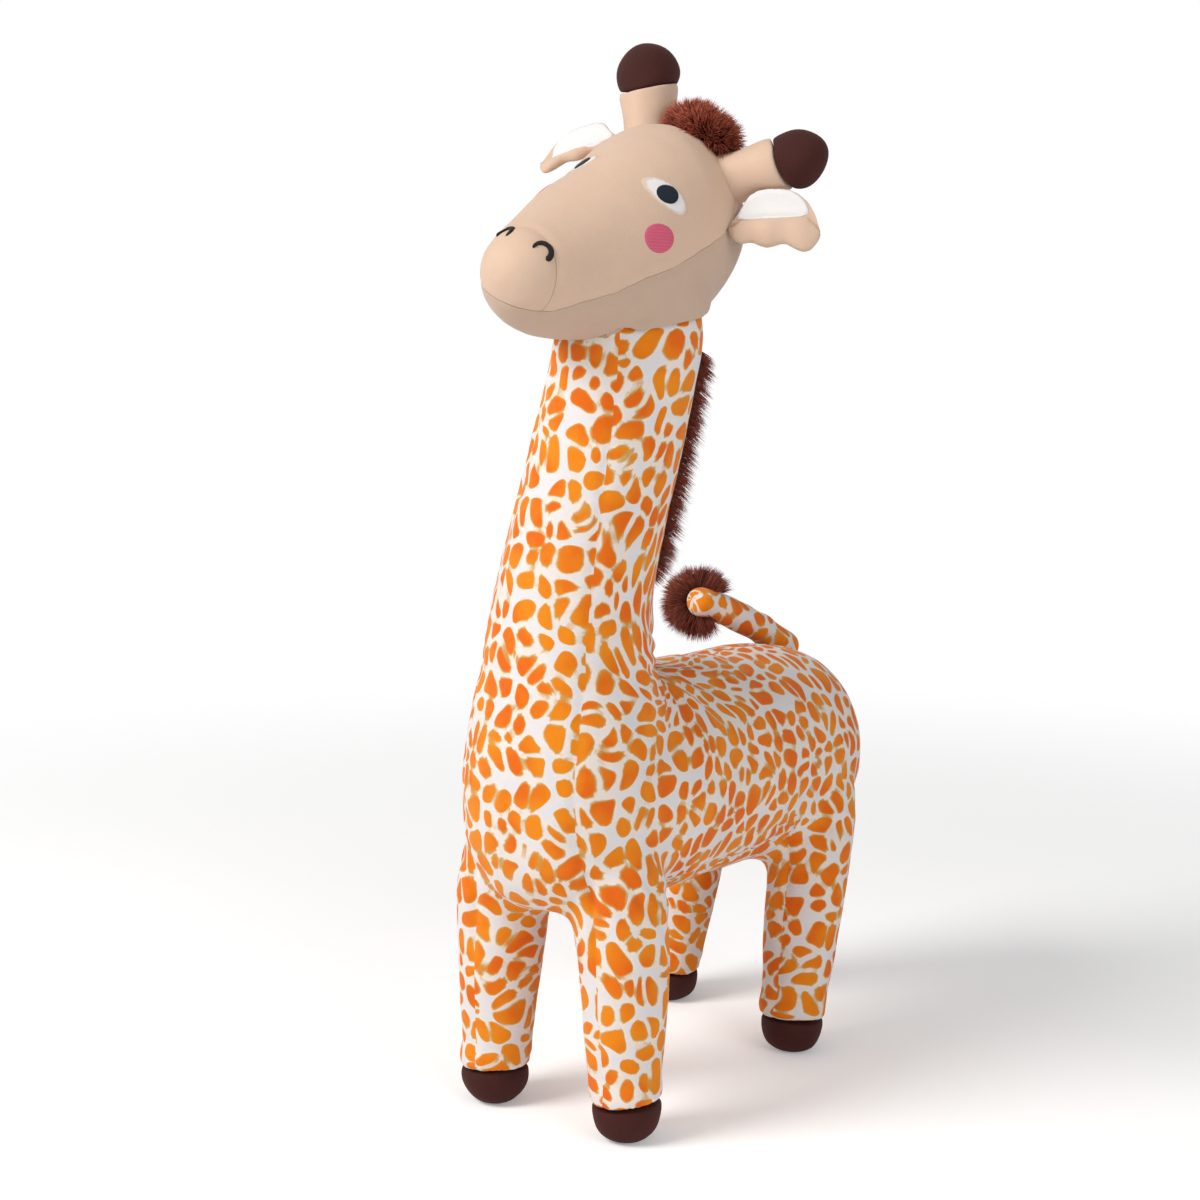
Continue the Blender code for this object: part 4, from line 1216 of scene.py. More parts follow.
def eye_cloth(white, tan):
    """The white of an eye, sewn down so flat that its edge fades into the tan cloth."""
    weave = Weave("eye cloth")
    where = weave.object_place()
    flat = weave.add("ShaderNodeUVMap", uv_map="Stitches").outputs["UV"]
    share = weave.vector("MULTIPLY", flat, (2 / EYE_SIZE[0], 2 / EYE_SIZE[1], 0))
    out = weave.add("ShaderNodeVectorMath", {0: share}, operation="LENGTH").outputs["Value"]
    ragged = weave.maths("MULTIPLY_ADD", weave.noise(where, 500, 2), 0.20, weave.maths("SUBTRACT", out, 0.10))
    colour = weave.mix(weave.stretch(ragged, 0.72, 1.0, 0.0, 0.9), white, tan)
    return weave.finish(shaded_by_pile(weave, where, colour, 0.03), pile_bump(weave, where, 0.0003), 0.8, 0.2)


def arc_piece(name, tree, centre, turn, start, rise, thin_end):
    """A stitched arc that lies on the surface: its ends are rounded, and one of them is drawn out thin."""
    radius, half, sweep = NOSTRIL_ARC
    steps, around = 40, 14
    rows = []
    layer_points = []
    out = turn @ Vector((0, 0, 1))
    for k in range(steps + 1):
        share = k / steps
        end = min(share, 1 - share) * sweep * radius
        taper = math.sqrt(max(1 - (1 - min(end / half, 1)) ** 2, 0.02))
        taper *= 0.38 + 0.62 * min(abs(thin_end - share) / 0.40, 1) ** 0.7
        way = start + sweep * share
        ring, flat_ring = [], []
        for i in range(around):
            spin = 2 * math.pi * i / around
            reach = radius + half * taper * math.cos(spin)
            flat = Vector((math.cos(way) * reach, math.sin(way) * reach, 0))
            near, _, _, _ = tree.ray_cast(centre + turn @ flat + out * 0.03, -out)
            if near is None:
                near, _, _, _ = tree.find_nearest(centre + turn @ flat)
            height = rise * taper * math.sin(spin) if math.sin(spin) > 0 else 0.0005 * math.sin(spin)
            ring.append(near + out * (height + 0.0002))
            flat_ring.append(Vector((way * radius, reach, 0)))
        rows.append(ring)
        layer_points.append(flat_ring)
    bm = bmesh.new()
    layer = bm.loops.layers.uv.new("Stitches")
    verts = [[bm.verts.new(p) for p in ring] for ring in rows]
    flats = {v: f for row, flat in zip(verts, layer_points) for v, f in zip(row, flat)}
    for low, high in zip(verts, verts[1:]):
        for i in range(around):
            j = (i + 1) % around
            bm.faces.new((low[i], low[j], high[j], high[i]))
    bm.faces.new(verts[0])
    bm.faces.new(verts[-1])
    bmesh.ops.recalc_face_normals(bm, faces=bm.faces)
    for face in bm.faces:
        for loop in face.loops:
            loop[layer].uv = flats[loop.vert].xy
    return new_object(name, bm)


def near_head(tree, own):
    """The place on the head's surface nearest to a point of its frame, and the way out there."""
    place = HEAD_CENTRE + HEAD_TURN @ Vector(own)
    near, normal, _, _ = tree.find_nearest(place)
    return near, normal


class GIRAFFE_OT_face(bpy.types.Operator):
    """Stitch the eyes, cheeks and nostrils on the head"""

    bl_idname = "giraffe.face"
    bl_label = "Face"

    def execute(self, context):
        cloth, face = context.scene.giraffe_cloth, context.scene.giraffe_face
        tree = head_tree()
        plain_cloth("white cloth", tuple(cloth.white), 0.8, 0.2, (1, 1, 1), 0.03, 0.0003)
        white = eye_cloth(tuple(cloth.white), tuple(cloth.tan))
        navy = stitched("navy thread", tuple(face.pupil), 0.0006, 0.3, 0.65)
        pink = stitched("pink thread", tuple(face.cheek), 0.0008, 1.5, 0.5)
        dark = stitched("dark thread", tuple(face.nostril), 0.0006, math.pi / 2, 0.65)
        for side, sign in (("left", 1), ("right", -1)):
            down = HEAD_TURN @ Vector((sign, 0, 0))
            y, angle, _ = EYES[sign]
            centre, normal = on_head(y, math.radians(angle), sign)
            turn = face_turn(normal, down) @ Matrix.Rotation(sign * EYE_LEAN, 3, "Z")
            item = patch(f"{side}_eye_white", tree, centre, turn, oval(*EYE_SIZE), 0.0004, 0.0001)
            finish_piece(item, "head", white, [f"{side}_eye"])
            item = patch(f"{side}_eye_pupil", tree, centre, turn, oval(*PUPIL_SIZE), face.rise, 0.0007)
            finish_piece(item, "head", navy, [f"{side}_pupil"])
            centre, normal = on_head(CHEEK_Y, math.radians(CHEEK_ROUND[sign]), sign)
            turn = face_turn(normal, down)
            disc = oval(CHEEK_SIZE, CHEEK_SIZE)
            item = patch(f"{side}_cheek_disc", tree, centre, turn, disc, face.rise * 0.7, 0.0001)
            finish_piece(item, "head", pink, [f"{side}_cheek"])
            centre, normal = near_head(tree, NOSTRIL_SPOTS[side])
            turn = face_turn(normal, HEAD_TURN @ Vector((1, 0, 0)))
            start = math.radians(NOSTRIL_START[sign])
            item = arc_piece(f"{side}_nostril_arc", tree, centre, turn, start, 0.0013, 1 if sign > 0 else 0)
            finish_piece(item, "head", dark, [f"{side}_nostril"])
        return {"FINISHED"}


# ---- horns ----

# How far up a horn its tip is sewn on, and the whole horn's length
HORN_SEAM = 0.033
HORN_LENGTH = 0.061
HORN_ROOT_HALF = 0.0150
HORN_TIP_HALF = {"left": 0.0166, "right": 0.0187}
# How far each tip's seam slants, and the side on which it is low
HORN_SLANT = {"left": (0.0060, (-0.45, 0.70, 0.55)), "right": (0.0085, (0.25, -0.95, 0))}
# The stalk and the tip from below up, as shares of their height and half width
STALK_SHAPE = (
    (-0.010, 1.16), (-0.004, 1.12), (0.000, 1.05), (0.06, 1.00), (0.22, 0.98), (0.5, 0.99), (0.78, 1.03),
    (0.93, 1.02), (0.985, 0.97), (1.0, 0.90),
)
TIP_SHAPE = (
    (0.00, 0.55), (0.00, 0.86), (0.02, 0.92), (0.08, 0.97), (0.20, 1.01), (0.36, 1.02), (0.52, 0.96),
    (0.68, 0.83), (0.82, 0.65), (0.92, 0.45), (0.975, 0.26), (0.995, 0.12),
)


def horn_frame(sign):
    """Where a horn's root is on the head, and the rotation whose Z runs up the horn."""
    root, _ = on_head(0.0458, math.radians(36.7), sign)
    splay, back = (math.radians(52), math.radians(6)) if sign > 0 else (math.radians(37), math.radians(15))
    aim = Vector((sign * math.sin(splay) * math.cos(back), math.sin(back), math.cos(splay) * math.cos(back)))
    return root, turned(HEAD_TURN @ aim, HEAD_TURN @ Vector((0, 1, 0)))


class GIRAFFE_OT_horns(bpy.types.Operator):
    """Sew the two horns with their dark tips"""

    bl_idname = "giraffe.horns"
    bl_label = "Horns"

    def execute(self, context):
        tan = bpy.data.materials["tan cloth"]
        brown = bpy.data.materials["dark brown cloth"]
        for side, sign in (("left", 1), ("right", -1)):
            root, turn = horn_frame(sign)
            slant, low_side = HORN_SLANT[side]
            low_side = turn.transposed() @ Vector(low_side)
            low_way = math.atan2(low_side.y, low_side.x)

            def seam_lift(way):
                return -slant * max(math.cos(way - low_way), -0.35) + 0.0005 * math.cos(2 * way)

            rings = []
            for share, wide in STALK_SHAPE:
                grown = (HORN_TIP_HALF[side] * 0.955 - HORN_ROOT_HALF) * max(share, 0)
                half = (HORN_ROOT_HALF + grown) * wide
                ring = []
                for i in range(40):
                    way = 2 * math.pi * i / 40
                    up = HORN_SEAM * share if share > 0 else share
                    up += seam_lift(way) * max(share, 0) ** 3 - 0.0003
                    ring.append(root + turn @ Vector((half * math.cos(way), half * math.sin(way), up)))
                rings.append(ring)
            item = tube(f"{side}_horn_stalk", rings)
            subdivide(item, 1)
            soften(item, 0.0005, 0.024, 31 + sign)
            finish_piece(item, "head", tan, [f"{side}_horn"])
            rings = []
            for share, wide in TIP_SHAPE:
                half = HORN_TIP_HALF[side] * wide
                ring = []
                for i in range(44):
                    way = 2 * math.pi * i / 44
                    up = HORN_SEAM + 0.0003 + (HORN_LENGTH - HORN_SEAM) * share
                    up += seam_lift(way) * (1 - share) ** 3
                    bulge = 1 + 0.045 * math.cos(2 * way + sign) * math.sin(math.pi * min(share * 1.2, 1))
                    reach = half * bulge
                    ring.append(root + turn @ Vector((reach * math.cos(way), reach * math.sin(way), up)))
                rings.append(ring)
            item = tube(f"{side}_horn_knob", rings)
            subdivide(item, 1)
            soften(item, 0.0007, 0.026, 35 + sign)
            finish_piece(item, "head", brown, [f"{side}_horn_tip"])
        return {"FINISHED"}


# ---- ears ----

# Each ear: the way it points, the way it faces, its reach up and down as shares of the outline's,
# and the height at which its forward roll starts
EARS = {
    "left": ((0.93, 0.36, 0.03), (0.36, -0.92, 0.16), 0.92, 1.0, 0.0035),
    "right": ((-0.98, -0.05, -0.18), (-0.10, -0.71, 0.70), 0.78, 1.10, -0.0098),
}
EAR_LENGTH = 0.047
# Along the ear, as shares of its length: how far up its upper edge is, and how far down its lower one
EAR_TOP = (
    (-0.15, -0.0005), (-0.10, 0.0035), (-0.03, 0.0072), (0.04, 0.0135), (0.12, 0.0190), (0.22, 0.0218),
    (0.34, 0.0227), (0.50, 0.0224), (0.62, 0.0213), (0.72, 0.0187), (0.84, 0.0132), (0.93, 0.0050),
    (0.975, -0.0030), (0.99, -0.0060),
)
EAR_BOTTOM = (
    (-0.15, -0.0040), (-0.08, -0.0088), (0.02, -0.0112), (0.10, -0.0106), (0.16, -0.0108), (0.24, -0.0128),
    (0.33, -0.0142), (0.42, -0.0136), (0.50, -0.0124), (0.57, -0.0124), (0.66, -0.0150), (0.74, -0.0170),
    (0.80, -0.0176), (0.87, -0.0168), (0.94, -0.0132), (0.975, -0.0104), (0.99, -0.0088),
)
# The lining's outline, along and across the ear; corners below its foot lie where the ear's edge rolls
LINING_FOOT = 0.004
LINING = (
    (-0.0040, 0.0046), (0.0020, 0.0110), (0.0070, 0.0192), (0.0150, 0.0216), (0.0260, 0.0212),
    (0.0325, 0.0180), (0.0385, 0.0115), (0.0405, 0.0046), (0.0360, 0.0036), (0.0300, 0.0036),
    (0.0240, 0.0036), (0.0180, 0.0036), (0.0120, 0.0036), (0.0050, 0.0036), (-0.0010, 0.0036),
)


def ear_section(share, tall, deep, roll_at):
    """The ear's closed outline across its length: a thin leaf whose lower edge is a soft forward roll."""
    top = float(np.interp(share, *zip(*EAR_TOP)))
    top *= tall if top > 0 else 1
    low = float(np.interp(share, *zip(*EAR_BOTTOM))) * deep
    edge = max(min(roll_at, top - 0.30 * (top - low)), low + 0.004)
    puff = math.sqrt(math.sin(math.pi * min(max((share + 0.17) / 1.18, 0.02), 0.98)))
    roll = (0.0056 + 0.0006 * math.cos((share - 0.33) * 2 * math.pi / 0.44)) * puff
    thick = 0.0016 * puff
    front, back = [], []
    for v in np.linspace(0, 1, 9)[:-1]:
        bulge = math.sqrt(max(1 - (1 - min(v / 0.25, 1)) ** 2, 0))
        front.append((top + (edge - top) * v, thick * bulge - 0.0012 * math.sin(math.pi * v) * puff))
    for v in np.linspace(0, 1, 16):
        arc = 2 * v ** 0.85 - 1
        down = edge + (low - edge) * v + 0.0010 * math.sin(math.pi * v)
        front.append((down, roll * math.sqrt(max(1 - arc * arc, 0))))
    for v in np.linspace(1, 0, 15)[1:-1]:
        back.append((top + (low - top) * v, -(thick + 0.0006) * (1 - abs(2 * v - 1) ** 4) ** 0.5))
    return [(w, out + 0.16 * max(w, 0)) for w, out in front + back]


def ear_mesh(name, hinge, turn, sign, *shape):
    """A soft leaf whose lower edge is rolled forward and gathered in scallops."""
    rings = []
    for step in np.linspace(0, 1, 46):
        share = -0.15 + 1.14 * (step + 0.10 * math.sin(2 * math.pi * step) / (2 * math.pi))
        ring = ear_section(share, *shape)
        rings.append([hinge + turn @ Vector((sign * w, o, EAR_LENGTH * share)) for w, o in ring])
    return tube(name, rings)


def outline_through(corners, centre):
    """The reach from the centre towards each way of a rounded outline through the corners."""
    away = [(x - centre[0], y - centre[1]) for x, y in corners]
    ways = np.array([math.atan2(y, x) for x, y in away])
    reaches = np.array([math.hypot(x, y) for x, y in away])
    order = np.argsort(ways)
    ways, reaches = ways[order], reaches[order]
    ways = np.concatenate((ways - 2 * math.pi, ways, ways + 2 * math.pi))
    reaches = np.tile(reaches, 3)

    def reach(way):
        way = (way + math.pi) % (2 * math.pi) - math.pi
        return float(np.mean([np.interp(way + d, ways, reaches) for d in (-0.10, -0.05, 0, 0.05, 0.10)]))

    return reach


class GIRAFFE_OT_ears(bpy.types.Operator):
    """Sew the two ears with their white linings"""

    bl_idname = "giraffe.ears"
    bl_label = "Ears"

    def execute(self, context):
        tan = bpy.data.materials["tan cloth"]
        white = bpy.data.materials["white cloth"]
        for side, sign in (("left", 1), ("right", -1)):
            aim, face, tall, deep, roll_at = EARS[side]
            hinge = PIVOTS[f"{side}_ear_flap"]
            turn = turned(aim, face)
            item = ear_mesh(f"{side}_ear_leaf", hinge, turn, sign, tall, deep, roll_at)
            subdivide(item, 1)
            finish_piece(item, f"{side}_ear", tan, [f"{side}_ear"])
            tree = BVHTree.FromObject(item, bpy.context.evaluated_depsgraph_get())
            corners = [(x, sign * (y * tall if y > LINING_FOOT else roll_at)) for x, y in LINING]
            middle = (0.0190, sign * (roll_at + 0.0205 * tall) / 2)
            centre = hinge + turn @ Vector((middle[1], 0, middle[0]))
            lie = Matrix((turn.col[2], turn.col[0], turn.col[1])).transposed()
            shape = outline_through(corners, middle)
            lining = patch(f"{side}_ear_inner", tree, centre, lie, shape, 0.0004, 0.0002)
            finish_piece(lining, f"{side}_ear", white, [f"{side}_ear_lining"])
        return {"FINISHED"}


# ---- tail ----

# The way from the tail's root to its end, how high it arches between them, and its half width
TAIL_REACH = (-0.016, -0.089, 0.041)
TAIL_ARCH = 0.0035
TAIL_HALF = 0.0108


def tail_line():
    """The tail's centre line from its root to its end."""
    root = PIVOTS["tail_swing"]
    reach, arch = Vector(TAIL_REACH), Vector((0, 0, TAIL_ARCH))
    return [root + reach * s + arch * math.sin(math.pi * s) for s in np.linspace(0, 1, 25)]


class GIRAFFE_OT_tail(bpy.types.Operator):
    """Sew the printed tail"""

    bl_idname = "giraffe.tail"
    bl_label = "Tail"

    def execute(self, context):
        points = tail_line()
        half = TAIL_HALF
        rings = []
        first = (points[1] - points[0]).normalized()
        last = (points[-1] - points[-2]).normalized()
        turns = np.linspace(0.25, 1.4, 5)
        stations = [(points[0] - first * half * math.cos(a), first, math.sin(a)) for a in turns]
        for i, point in enumerate(points):
            way = (points[min(i + 1, len(points) - 1)] - points[max(i - 1, 0)]).normalized()
            stations.append((point, way, 1))
        stations += [(points[-1] + last * half * math.cos(a), last, math.sin(a)) for a in turns[::-1]]
        around = 32
        for point, way, wide in stations:
            turn = turned(way, (1, 0, 0))
            rings.append([
                point + turn @ Vector((half * wide * math.cos(a), half * wide * math.sin(a), 0))
                for a in np.linspace(0, 2 * math.pi, around, endpoint=False)
            ])
        item = tube("tail_cover", rings)
        mesh = item.data
        layer = mesh.uv_layers.new(name="Panels")
        steps = [(b[0] - a[0]).length + half * abs(b[2] - a[2]) for a, b in zip(stations, stations[1:])]
        run = np.cumsum([0] + steps)
        places = {}
        for k in range(len(rings)):
            for i in range(around):
                places[k * around + i] = (half * 2 * math.pi * i / around, run[k])
        for polygon in mesh.polygons:
            corners = [mesh.loops[i].vertex_index for i in polygon.loop_indices]
            known = [places[c] for c in corners if c in places]
            wraps = max(p[0] for p in known) - min(p[0] for p in known) > half * math.pi
            for i, corner in zip(polygon.loop_indices, corners):
                across, along = places.get(corner, (known[0][0], known[0][1]))
                if wraps and across < half:
                    across += half * 2 * math.pi
                layer.data[i].uv = (across + 2.3, along + 1.1)
        subdivide(item, 1)
        soften(item, 0.0006, 0.022, 41)
        finish_piece(item, "tail", bpy.data.materials["printed cloth"], ["tail"])
        return {"FINISHED"}


# ---- fur ----


def strands(name, bases, ways, lengths, bend, thick, seed):
    """Tapered hairs, each with its own shade."""
    rng = np.random.default_rng(seed)
    count = len(bases)
    ways = ways / np.linalg.norm(ways, axis=1, keepdims=True)
    side = np.cross(ways, rng.normal(size=(count, 3)))
    side /= np.linalg.norm(side, axis=1, keepdims=True)
    other = np.cross(ways, side)
    curl = bend[None, :] if bend.ndim == 1 else bend
    stations = ((0.0, 1.0), (0.38, 0.85), (0.74, 0.55))
    verts = np.empty((count, 10, 3))
    along = np.empty((count, 10))
    for k, (share, wide) in enumerate(stations):
        centre = bases + ways * (lengths * share)[:, None] + curl * (lengths * share * share)[:, None]
        for i in range(3):
            way = 2 * math.pi * i / 3
            out = side * math.cos(way) + other * math.sin(way)
            verts[:, k * 3 + i] = centre + out * (thick * wide)
            along[:, k * 3 + i] = share
    verts[:, 9] = bases + ways * lengths[:, None] + curl * lengths[:, None]
    along[:, 9] = 1
    faces = [(2, 1, 0)]
    for k in (0, 3):
        for i in range(3):
            j = (i + 1) % 3
            faces += [(k + i, k + j, k + 3 + j), (k + i, k + 3 + j, k + 3 + i)]
    faces += [(6, 7, 9), (7, 8, 9), (8, 6, 9)]
    faces = np.array(faces)
    whole = (faces[None] + np.arange(count)[:, None, None] * 10).reshape(-1, 3)
    mesh = bpy.data.meshes.new(name)
    mesh.vertices.add(count * 10)
    mesh.vertices.foreach_set("co", verts.ravel())
    mesh.loops.add(whole.size)
    mesh.loops.foreach_set("vertex_index", whole.ravel())
    mesh.polygons.add(len(whole))
    mesh.polygons.foreach_set("loop_start", np.arange(0, whole.size, 3))
    mesh.update(calc_edges=True)
    layer = mesh.attributes.new("along", "FLOAT", "POINT")
    layer.data.foreach_set("value", along.ravel())
    shade = np.repeat(np.clip(rng.normal(0.5, 0.22, count), 0, 1), 10)
    layer = mesh.attributes.new("shade", "FLOAT", "POINT")
    layer.data.foreach_set("value", shade)
    item = bpy.data.objects.new(name, mesh)
    bpy.context.scene.collection.objects.link(item)
    return item


def clumped(ways, bases, size, amount, seed):
    """Directions drawn together in small locks, as brushed fur parts."""
    rng = np.random.default_rng(seed)
    cells = np.floor(bases / size).astype(int)
    keys = cells[:, 0] * 73856093 ^ cells[:, 1] * 19349663 ^ cells[:, 2] * 83492791
    _, index = np.unique(keys, return_inverse=True)
    index = index.ravel()
    lean = rng.normal(size=(index.max() + 1, 3)) * amount
    return ways + lean[index]


def surface_samples(tree_faces, count, rng):
    """Random points on triangles, with their normals."""
    a, b, c = (tree_faces[:, i] for i in range(3))
    cross = np.cross(b - a, c - a)
    area = np.linalg.norm(cross, axis=1)
    pick = rng.choice(len(area), size=count, p=area / area.sum())
    u, v = rng.random(count), rng.random(count)
    flip = u + v > 1
    u[flip], v[flip] = 1 - u[flip], 1 - v[flip]
    points = a[pick] + (b - a)[pick] * u[:, None] + (c - a)[pick] * v[:, None]
    return points, cross[pick] / area[pick][:, None]


def triangles_of(item):
    """The corners of each of the mesh's triangles."""
    item.data.calc_loop_triangles()
    corners = np.empty(len(item.data.loop_triangles) * 3, dtype=np.int64)
    item.data.loop_triangles.foreach_get("vertices", corners)
    return points_of(item)[corners.reshape(-1, 3)]


def core(name, centre, turn, size):
    """A small soft body under the fur."""
    rings = []
    for k in range(1, 16):
        lean = math.pi * k / 16
        wide, deep, up = size[0] * math.sin(lean), size[1] * math.sin(lean), -size[2] * math.cos(lean)
        rings.append([
            centre + turn @ Vector((wide * math.cos(a), deep * math.sin(a), up))
            for a in np.linspace(0, 2 * math.pi, 28, endpoint=False)
        ])
    return tube(name, rings)


def join(first, other):
    """Take the other mesh into the first one."""
    only(first)
    other.select_set(True)
    bpy.ops.object.join()
    return first


def plant(item, hair, body, material, node):
    """Make one piece of the soft body and its hairs, and hang it."""
    for attribute in ("along", "shade"):
        item.data.attributes.new(attribute, "FLOAT", "POINT")
    finish_piece(join(item, hair), body, material, [node])


# The mane's rows of points down the neck, and half its width
MANE_ROWS = 32
MANE_HALF = 0.011
# How thick the mane's strip stands on the neck, and how deep it is let into the cover
MANE_STRIP = (0.0042, 0.0012)
# How long the mane is from its top to its foot, as shares of its full length
MANE_FALL = ((0, 0.25, 0.6, 0.9, 1), (1.15, 1.2, 1.25, 1.25, 0.9))
# The soft bodies that the short fur grows on, as half sizes, and the way the tuft opens
FORELOCK_SIZE = (0.0175, 0.009, 0.0075)
FORELOCK_HAIR = 0.0135
TUFT_SIZE = (0.0110, 0.0110, 0.0060)
TUFT_FACE = (0.54, -0.83, 0.13)


def mane(fur, material):
    """A strip of fur down the neck's back."""
    rng = np.random.default_rng(50)
    low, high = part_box("mane")
    tree = BVHTree.FromObject(bpy.data.objects["cover"], bpy.context.evaluated_depsgraph_get())
    rows = []
    for z in np.linspace(low.z + 0.002, high.z + 0.010, MANE_ROWS):
        middle, centre = (float(v) for v in middle_line(z))
        row = []
        for across in np.linspace(-MANE_HALF, MANE_HALF, 9):
            start = Vector((middle + across, centre + 0.12, z))
            near, normal, _, _ = tree.ray_cast(start, Vector((0, -1, 0)))
            row.append((near, normal))
        rows.append(row)
    proud, sunk = MANE_STRIP
    rings = []
    for row in rows:
        ring = [near + normal * proud for near, normal in row]
        rings.append(ring + [near - normal * sunk for near, normal in reversed(row)])
    strip = tube("mane_fur", rings)
    bases, ways = [], []
    for _ in range(fur.strands):
        i = rng.integers(0, len(rows) - 1)
        j = rng.integers(0, 8)
        u, v = rng.random(), rng.random()
        a, b = rows[i][j], rows[i + 1][j]
        c, d = rows[i][j + 1], rows[i + 1][j + 1]
        near = (a[0] * (1 - u) + b[0] * u) * (1 - v) + (c[0] * (1 - u) + d[0] * u) * v
        normal = (a[1] + b[1] + c[1] + d[1]).normalized()
        across = ((j + v) / 8 - 0.5) * 2
        bases.append(near + normal * 0.0012)
        ways.append(normal + Vector((across, 0, -0.40)))
    bases, ways = np.array(bases), np.array(ways)
    ways = clumped(ways, bases, 0.005, 0.10, 51) + rng.normal(size=ways.shape) * 0.09
    fall = 1 - (bases[:, 2] - bases[:, 2].min()) / np.ptp(bases[:, 2])
    lengths = fur.mane_length * rng.uniform(0.75, 1.0, fur.strands) * np.interp(fall, *MANE_FALL)
    hair = strands("mane_hair", bases, ways, lengths, np.array((0, 0.0, -0.30)), 0.00036, 52)
    plant(strip, hair, "neck", material, "mane")


def forelock(fur, material):
    """A soft ball of fur between the horns."""
    root, up = on_head(0.044, math.radians(3), 1, 0.004)
    turn = turned(up, HEAD_TURN @ Vector((0, 1, 0)))
    rng = np.random.default_rng(60)
    item = core("forelock_fur", root, turn, FORELOCK_SIZE)
    bases, normals = surface_samples(triangles_of(item), fur.strands, rng)
    own = (bases - np.array(root)) @ np.array(turn)
    keep = own[:, 2] > -0.004
    bases, normals = bases[keep], normals[keep]
    spread = clumped(normals, bases, 0.005, 0.34, 61) + rng.normal(size=normals.shape) * 0.20
    lengths = FORELOCK_HAIR * rng.uniform(0.55, 1.1, len(bases))
    hair = strands("forelock_hair", bases, spread, lengths, np.array((0.02, 0.0, -0.10)), 0.00028, 62)
    plant(item, hair, "head", material, "forelock")


def tuft(fur, material):
    """Fur round the tail's end, parted where the tail comes through."""
    points = tail_line()
    rng = np.random.default_rng(70)
    end = points[-1]
    face = Vector(TUFT_FACE).normalized()
    turn = turned(face, (1, 0, 0))
    centre = end - face * 0.007 + Vector((-0.003, 0, 0))
    item = core("tuft_fur", centre, turn, TUFT_SIZE)
    bases, normals = surface_samples(triangles_of(item), fur.strands, rng)
    own = (bases - np.array(centre)) @ np.array(turn)
    tail_way = (points[-8] - end) @ turn
    tail_way = np.array(tail_way[:2]) / math.hypot(*tail_way[:2])
    far = np.linalg.norm(own[:, :2], axis=1)
    radial = own[:, :2] / np.maximum(far[:, None], 1e-6)
    clear = (radial @ tail_way < 0.72) & (far > 0.005)
    bases, normals, radial = bases[clear], normals[clear], radial[clear]
    radial = np.c_[radial, np.full(len(radial), -0.12)] @ np.array(turn).T
    spread = clumped(radial + normals * 0.40, bases, 0.005, 0.34, 71)
    spread = spread + rng.normal(size=normals.shape) * 0.20
    lengths = fur.tuft_length * rng.uniform(0.55, 1.15, len(bases))
    hair = strands("tuft_hair", bases, spread, lengths, np.array((0.0, 0.0, -0.06)), 0.00030, 72)
    plant(item, hair, "tail", material, "tail_tuft")


class GIRAFFE_OT_fur(bpy.types.Operator):
    """Plant the mane, the forelock and the tail's tuft"""

    bl_idname = "giraffe.fur"
    bl_label = "Fur"

    def execute(self, context):
        fur = context.scene.giraffe_fur
        brown = fur_material("brown fur", tuple(fur.colour))
        # Painted light: the forelock wears the mane's fur colour lightened 1.6 times, a lit copy of the same
        # fur.
        pale = fur_material("forelock fur", tuple(min(1, c * 1.6) for c in fur.colour))
        mane(fur, brown)
        forelock(fur, pale)
        tuft(fur, brown)
        return {"FINISHED"}


# ---- the stage ----

# The camera stands where the photograph was taken from, turned and tipped down in degrees
CAMERA_PLACE = (0.6771, -1.0209, 0.478)
CAMERA_ROUND = 36.4
CAMERA_DOWN = 7.3
# Where the lamps aim, how much white the floor gains to the eye, and where it fades to plain white
TOY_MIDDLE = (0, 0, 0.34)
FLOOR_LIFT = 0.22
FLOOR_FADE = (0.45, 1.6)


def area_light(name, place, size, power, colour=(1, 1, 1)):
    """A soft round lamp that looks at the toy."""
    light = bpy.data.lights.new(name, "AREA")
    light.shape = "DISK"
    light.size = size
    light.energy = power
    light.color = colour
    item = bpy.data.objects.new(name, light)
    bpy.context.scene.collection.objects.link(item)
    item.location = place
    item.rotation_euler = (Vector(TOY_MIDDLE) - Vector(place)).to_track_quat("-Z", "Y").to_euler()
    return item


def lay_floor():
    """A pale floor that keeps the toy's shadow and fades to white further off."""
    for other in list(bpy.context.selected_objects):
        other.select_set(False)
    bpy.ops.mesh.primitive_grid_add(x_subdivisions=24, y_subdivisions=24, size=12, location=(0, 0, 0))
    floor = bpy.context.active_object
    floor.name = "floor"
    weave = Weave("pale floor")
    where = weave.object_place()
    grain = weave.bump(weave.noise(where, 400, 2), 0.0003, 0.2)
    tone = weave.mix(weave.noise(where, 3, 2), srgb(250, 250, 251), srgb(252, 252, 252))
    weave.finish(tone, grain, 0.9)
    far = weave.add("ShaderNodeVectorMath", {0: where}, operation="LENGTH").outputs["Value"]
    away = weave.stretch(far, *FLOOR_FADE)
    seen = weave.seen_straight()
    white = (1, 1, 1, 1)
    glow = weave.add("ShaderNodeEmission", {"Color": white, "Strength": 1.0})
    strength = weave.maths("MULTIPLY", seen, FLOOR_LIFT)
    lift = weave.add("ShaderNodeEmission", {"Color": white, "Strength": strength})
    lit = weave.add("ShaderNodeAddShader", {0: weave.shader.outputs[0], 1: lift.outputs[0]})
    share = weave.maths("MULTIPLY", away, seen)
    mixed = weave.add("ShaderNodeMixShader", {0: share, 1: lit.outputs[0], 2: glow.outputs[0]})
    weave.tree.links.new(mixed.outputs[0], weave.tree.nodes["Material Output"].inputs["Surface"])
    floor.data.materials.append(weave.material)


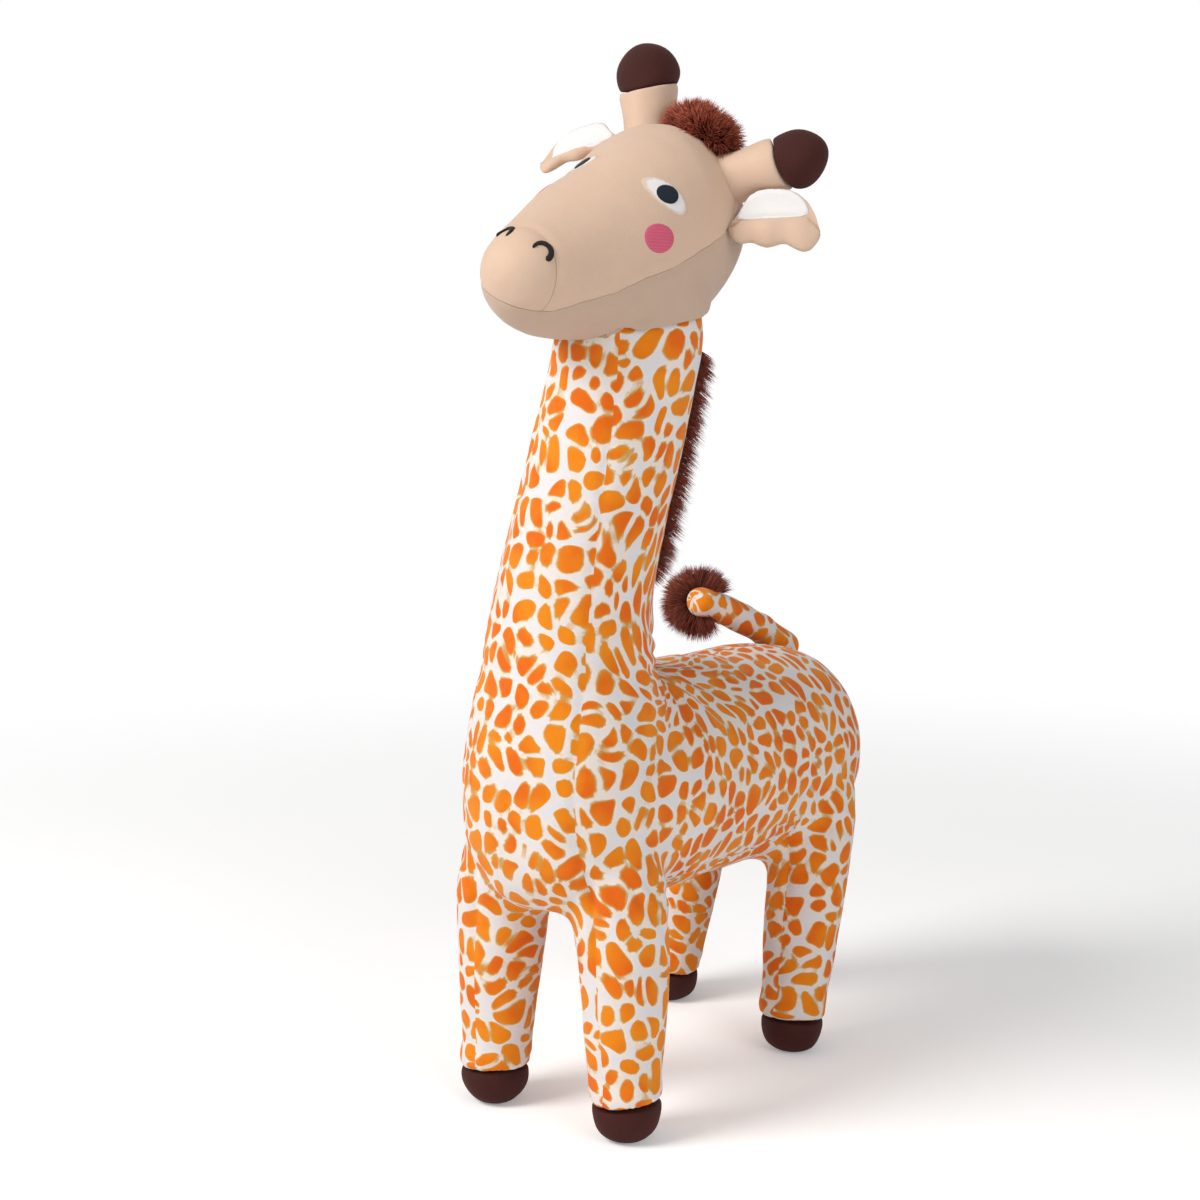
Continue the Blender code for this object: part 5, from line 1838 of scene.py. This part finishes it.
def surround(level):
    """Even light of the level from all round, which looks white itself."""
    world = bpy.data.worlds.new("white room")
    bpy.context.scene.world = world
    world.use_nodes = True
    nodes = Nodes(world.node_tree)
    nodes.tree.nodes.clear()
    strength = nodes.stretch(nodes.seen_straight(), 0, 1, level, 1.0, smooth=False)
    shade = nodes.add("ShaderNodeBackground", {"Color": (1, 1, 1, 1), "Strength": strength})
    nodes.add("ShaderNodeOutputWorld", {"Surface": shade.outputs[0]})


class GIRAFFE_OT_stage(bpy.types.Operator):
    """Lay the pale floor and set the lamps and the camera"""

    bl_idname = "giraffe.stage"
    bl_label = "Stage"

    def execute(self, context):
        stage, scene = context.scene.giraffe_stage, context.scene
        lay_floor()
        surround(stage.world_level)
        area_light("main light", (-0.9, -1.7, 1.7), 1.2, stage.key_level, (1, 0.985, 0.96))
        area_light("side light", (1.9, -0.6, 1.0), 1.4, stage.key_level * 0.30)
        camera_data = bpy.data.cameras.new("camera")
        camera_data.sensor_width = 36
        camera_data.sensor_fit = "HORIZONTAL"
        camera_data.lens = stage.lens
        camera = bpy.data.objects.new("camera", camera_data)
        scene.collection.objects.link(camera)
        camera.location = CAMERA_PLACE
        camera.rotation_euler = (math.radians(90 - CAMERA_DOWN), 0, math.radians(CAMERA_ROUND))
        scene.camera = camera
        scene.view_settings.view_transform = "Standard"
        return {"FINISHED"}


class GIRAFFE_PT_panel(bpy.types.Panel):
    """Builds the giraffe piece by piece"""

    bl_label = "Stuffed Giraffe"
    bl_space_type = "VIEW_3D"
    bl_region_type = "UI"
    bl_category = "Giraffe"

    def draw(self, context):
        layout = self.layout
        for title, group in PROPERTY_GROUPS.items():
            box = layout.box()
            box.label(text=title)
            settings = getattr(context.scene, group[0])
            for name in group[1].__annotations__:
                box.prop(settings, name)
        for operator in OPERATORS:
            layout.operator(operator.bl_idname)


PROPERTY_GROUPS = {
    "Cloth": ("giraffe_cloth", GiraffeCloth),
    "Face": ("giraffe_face", GiraffeFace),
    "Fur": ("giraffe_fur", GiraffeFur),
    "Stage": ("giraffe_stage", GiraffeStage),
}
OPERATORS = (
    GIRAFFE_OT_cover, GIRAFFE_OT_hooves, GIRAFFE_OT_head, GIRAFFE_OT_face, GIRAFFE_OT_horns, GIRAFFE_OT_ears,
    GIRAFFE_OT_tail, GIRAFFE_OT_fur, GIRAFFE_OT_stage,
)


def register():
    """Make the settings, operators and panel known to Blender."""
    for name, group in PROPERTY_GROUPS.values():
        bpy.utils.register_class(group)
        setattr(bpy.types.Scene, name, PointerProperty(type=group))
    for operator in OPERATORS:
        bpy.utils.register_class(operator)
    bpy.utils.register_class(GIRAFFE_PT_panel)


def unregister():
    """Take them all back out."""
    bpy.utils.unregister_class(GIRAFFE_PT_panel)
    for operator in reversed(OPERATORS):
        bpy.utils.unregister_class(operator)
    for name, group in PROPERTY_GROUPS.values():
        delattr(bpy.types.Scene, name)
        bpy.utils.unregister_class(group)


def main():
    """Build every piece in turn."""
    register()
    for operator in OPERATORS:
        step = getattr(bpy.ops.giraffe, operator.bl_idname.split(".")[1])
        if step() != {"FINISHED"}:
            raise RuntimeError(f"{operator.bl_label} wasn't finished")


if __name__ == "__main__":
    main()
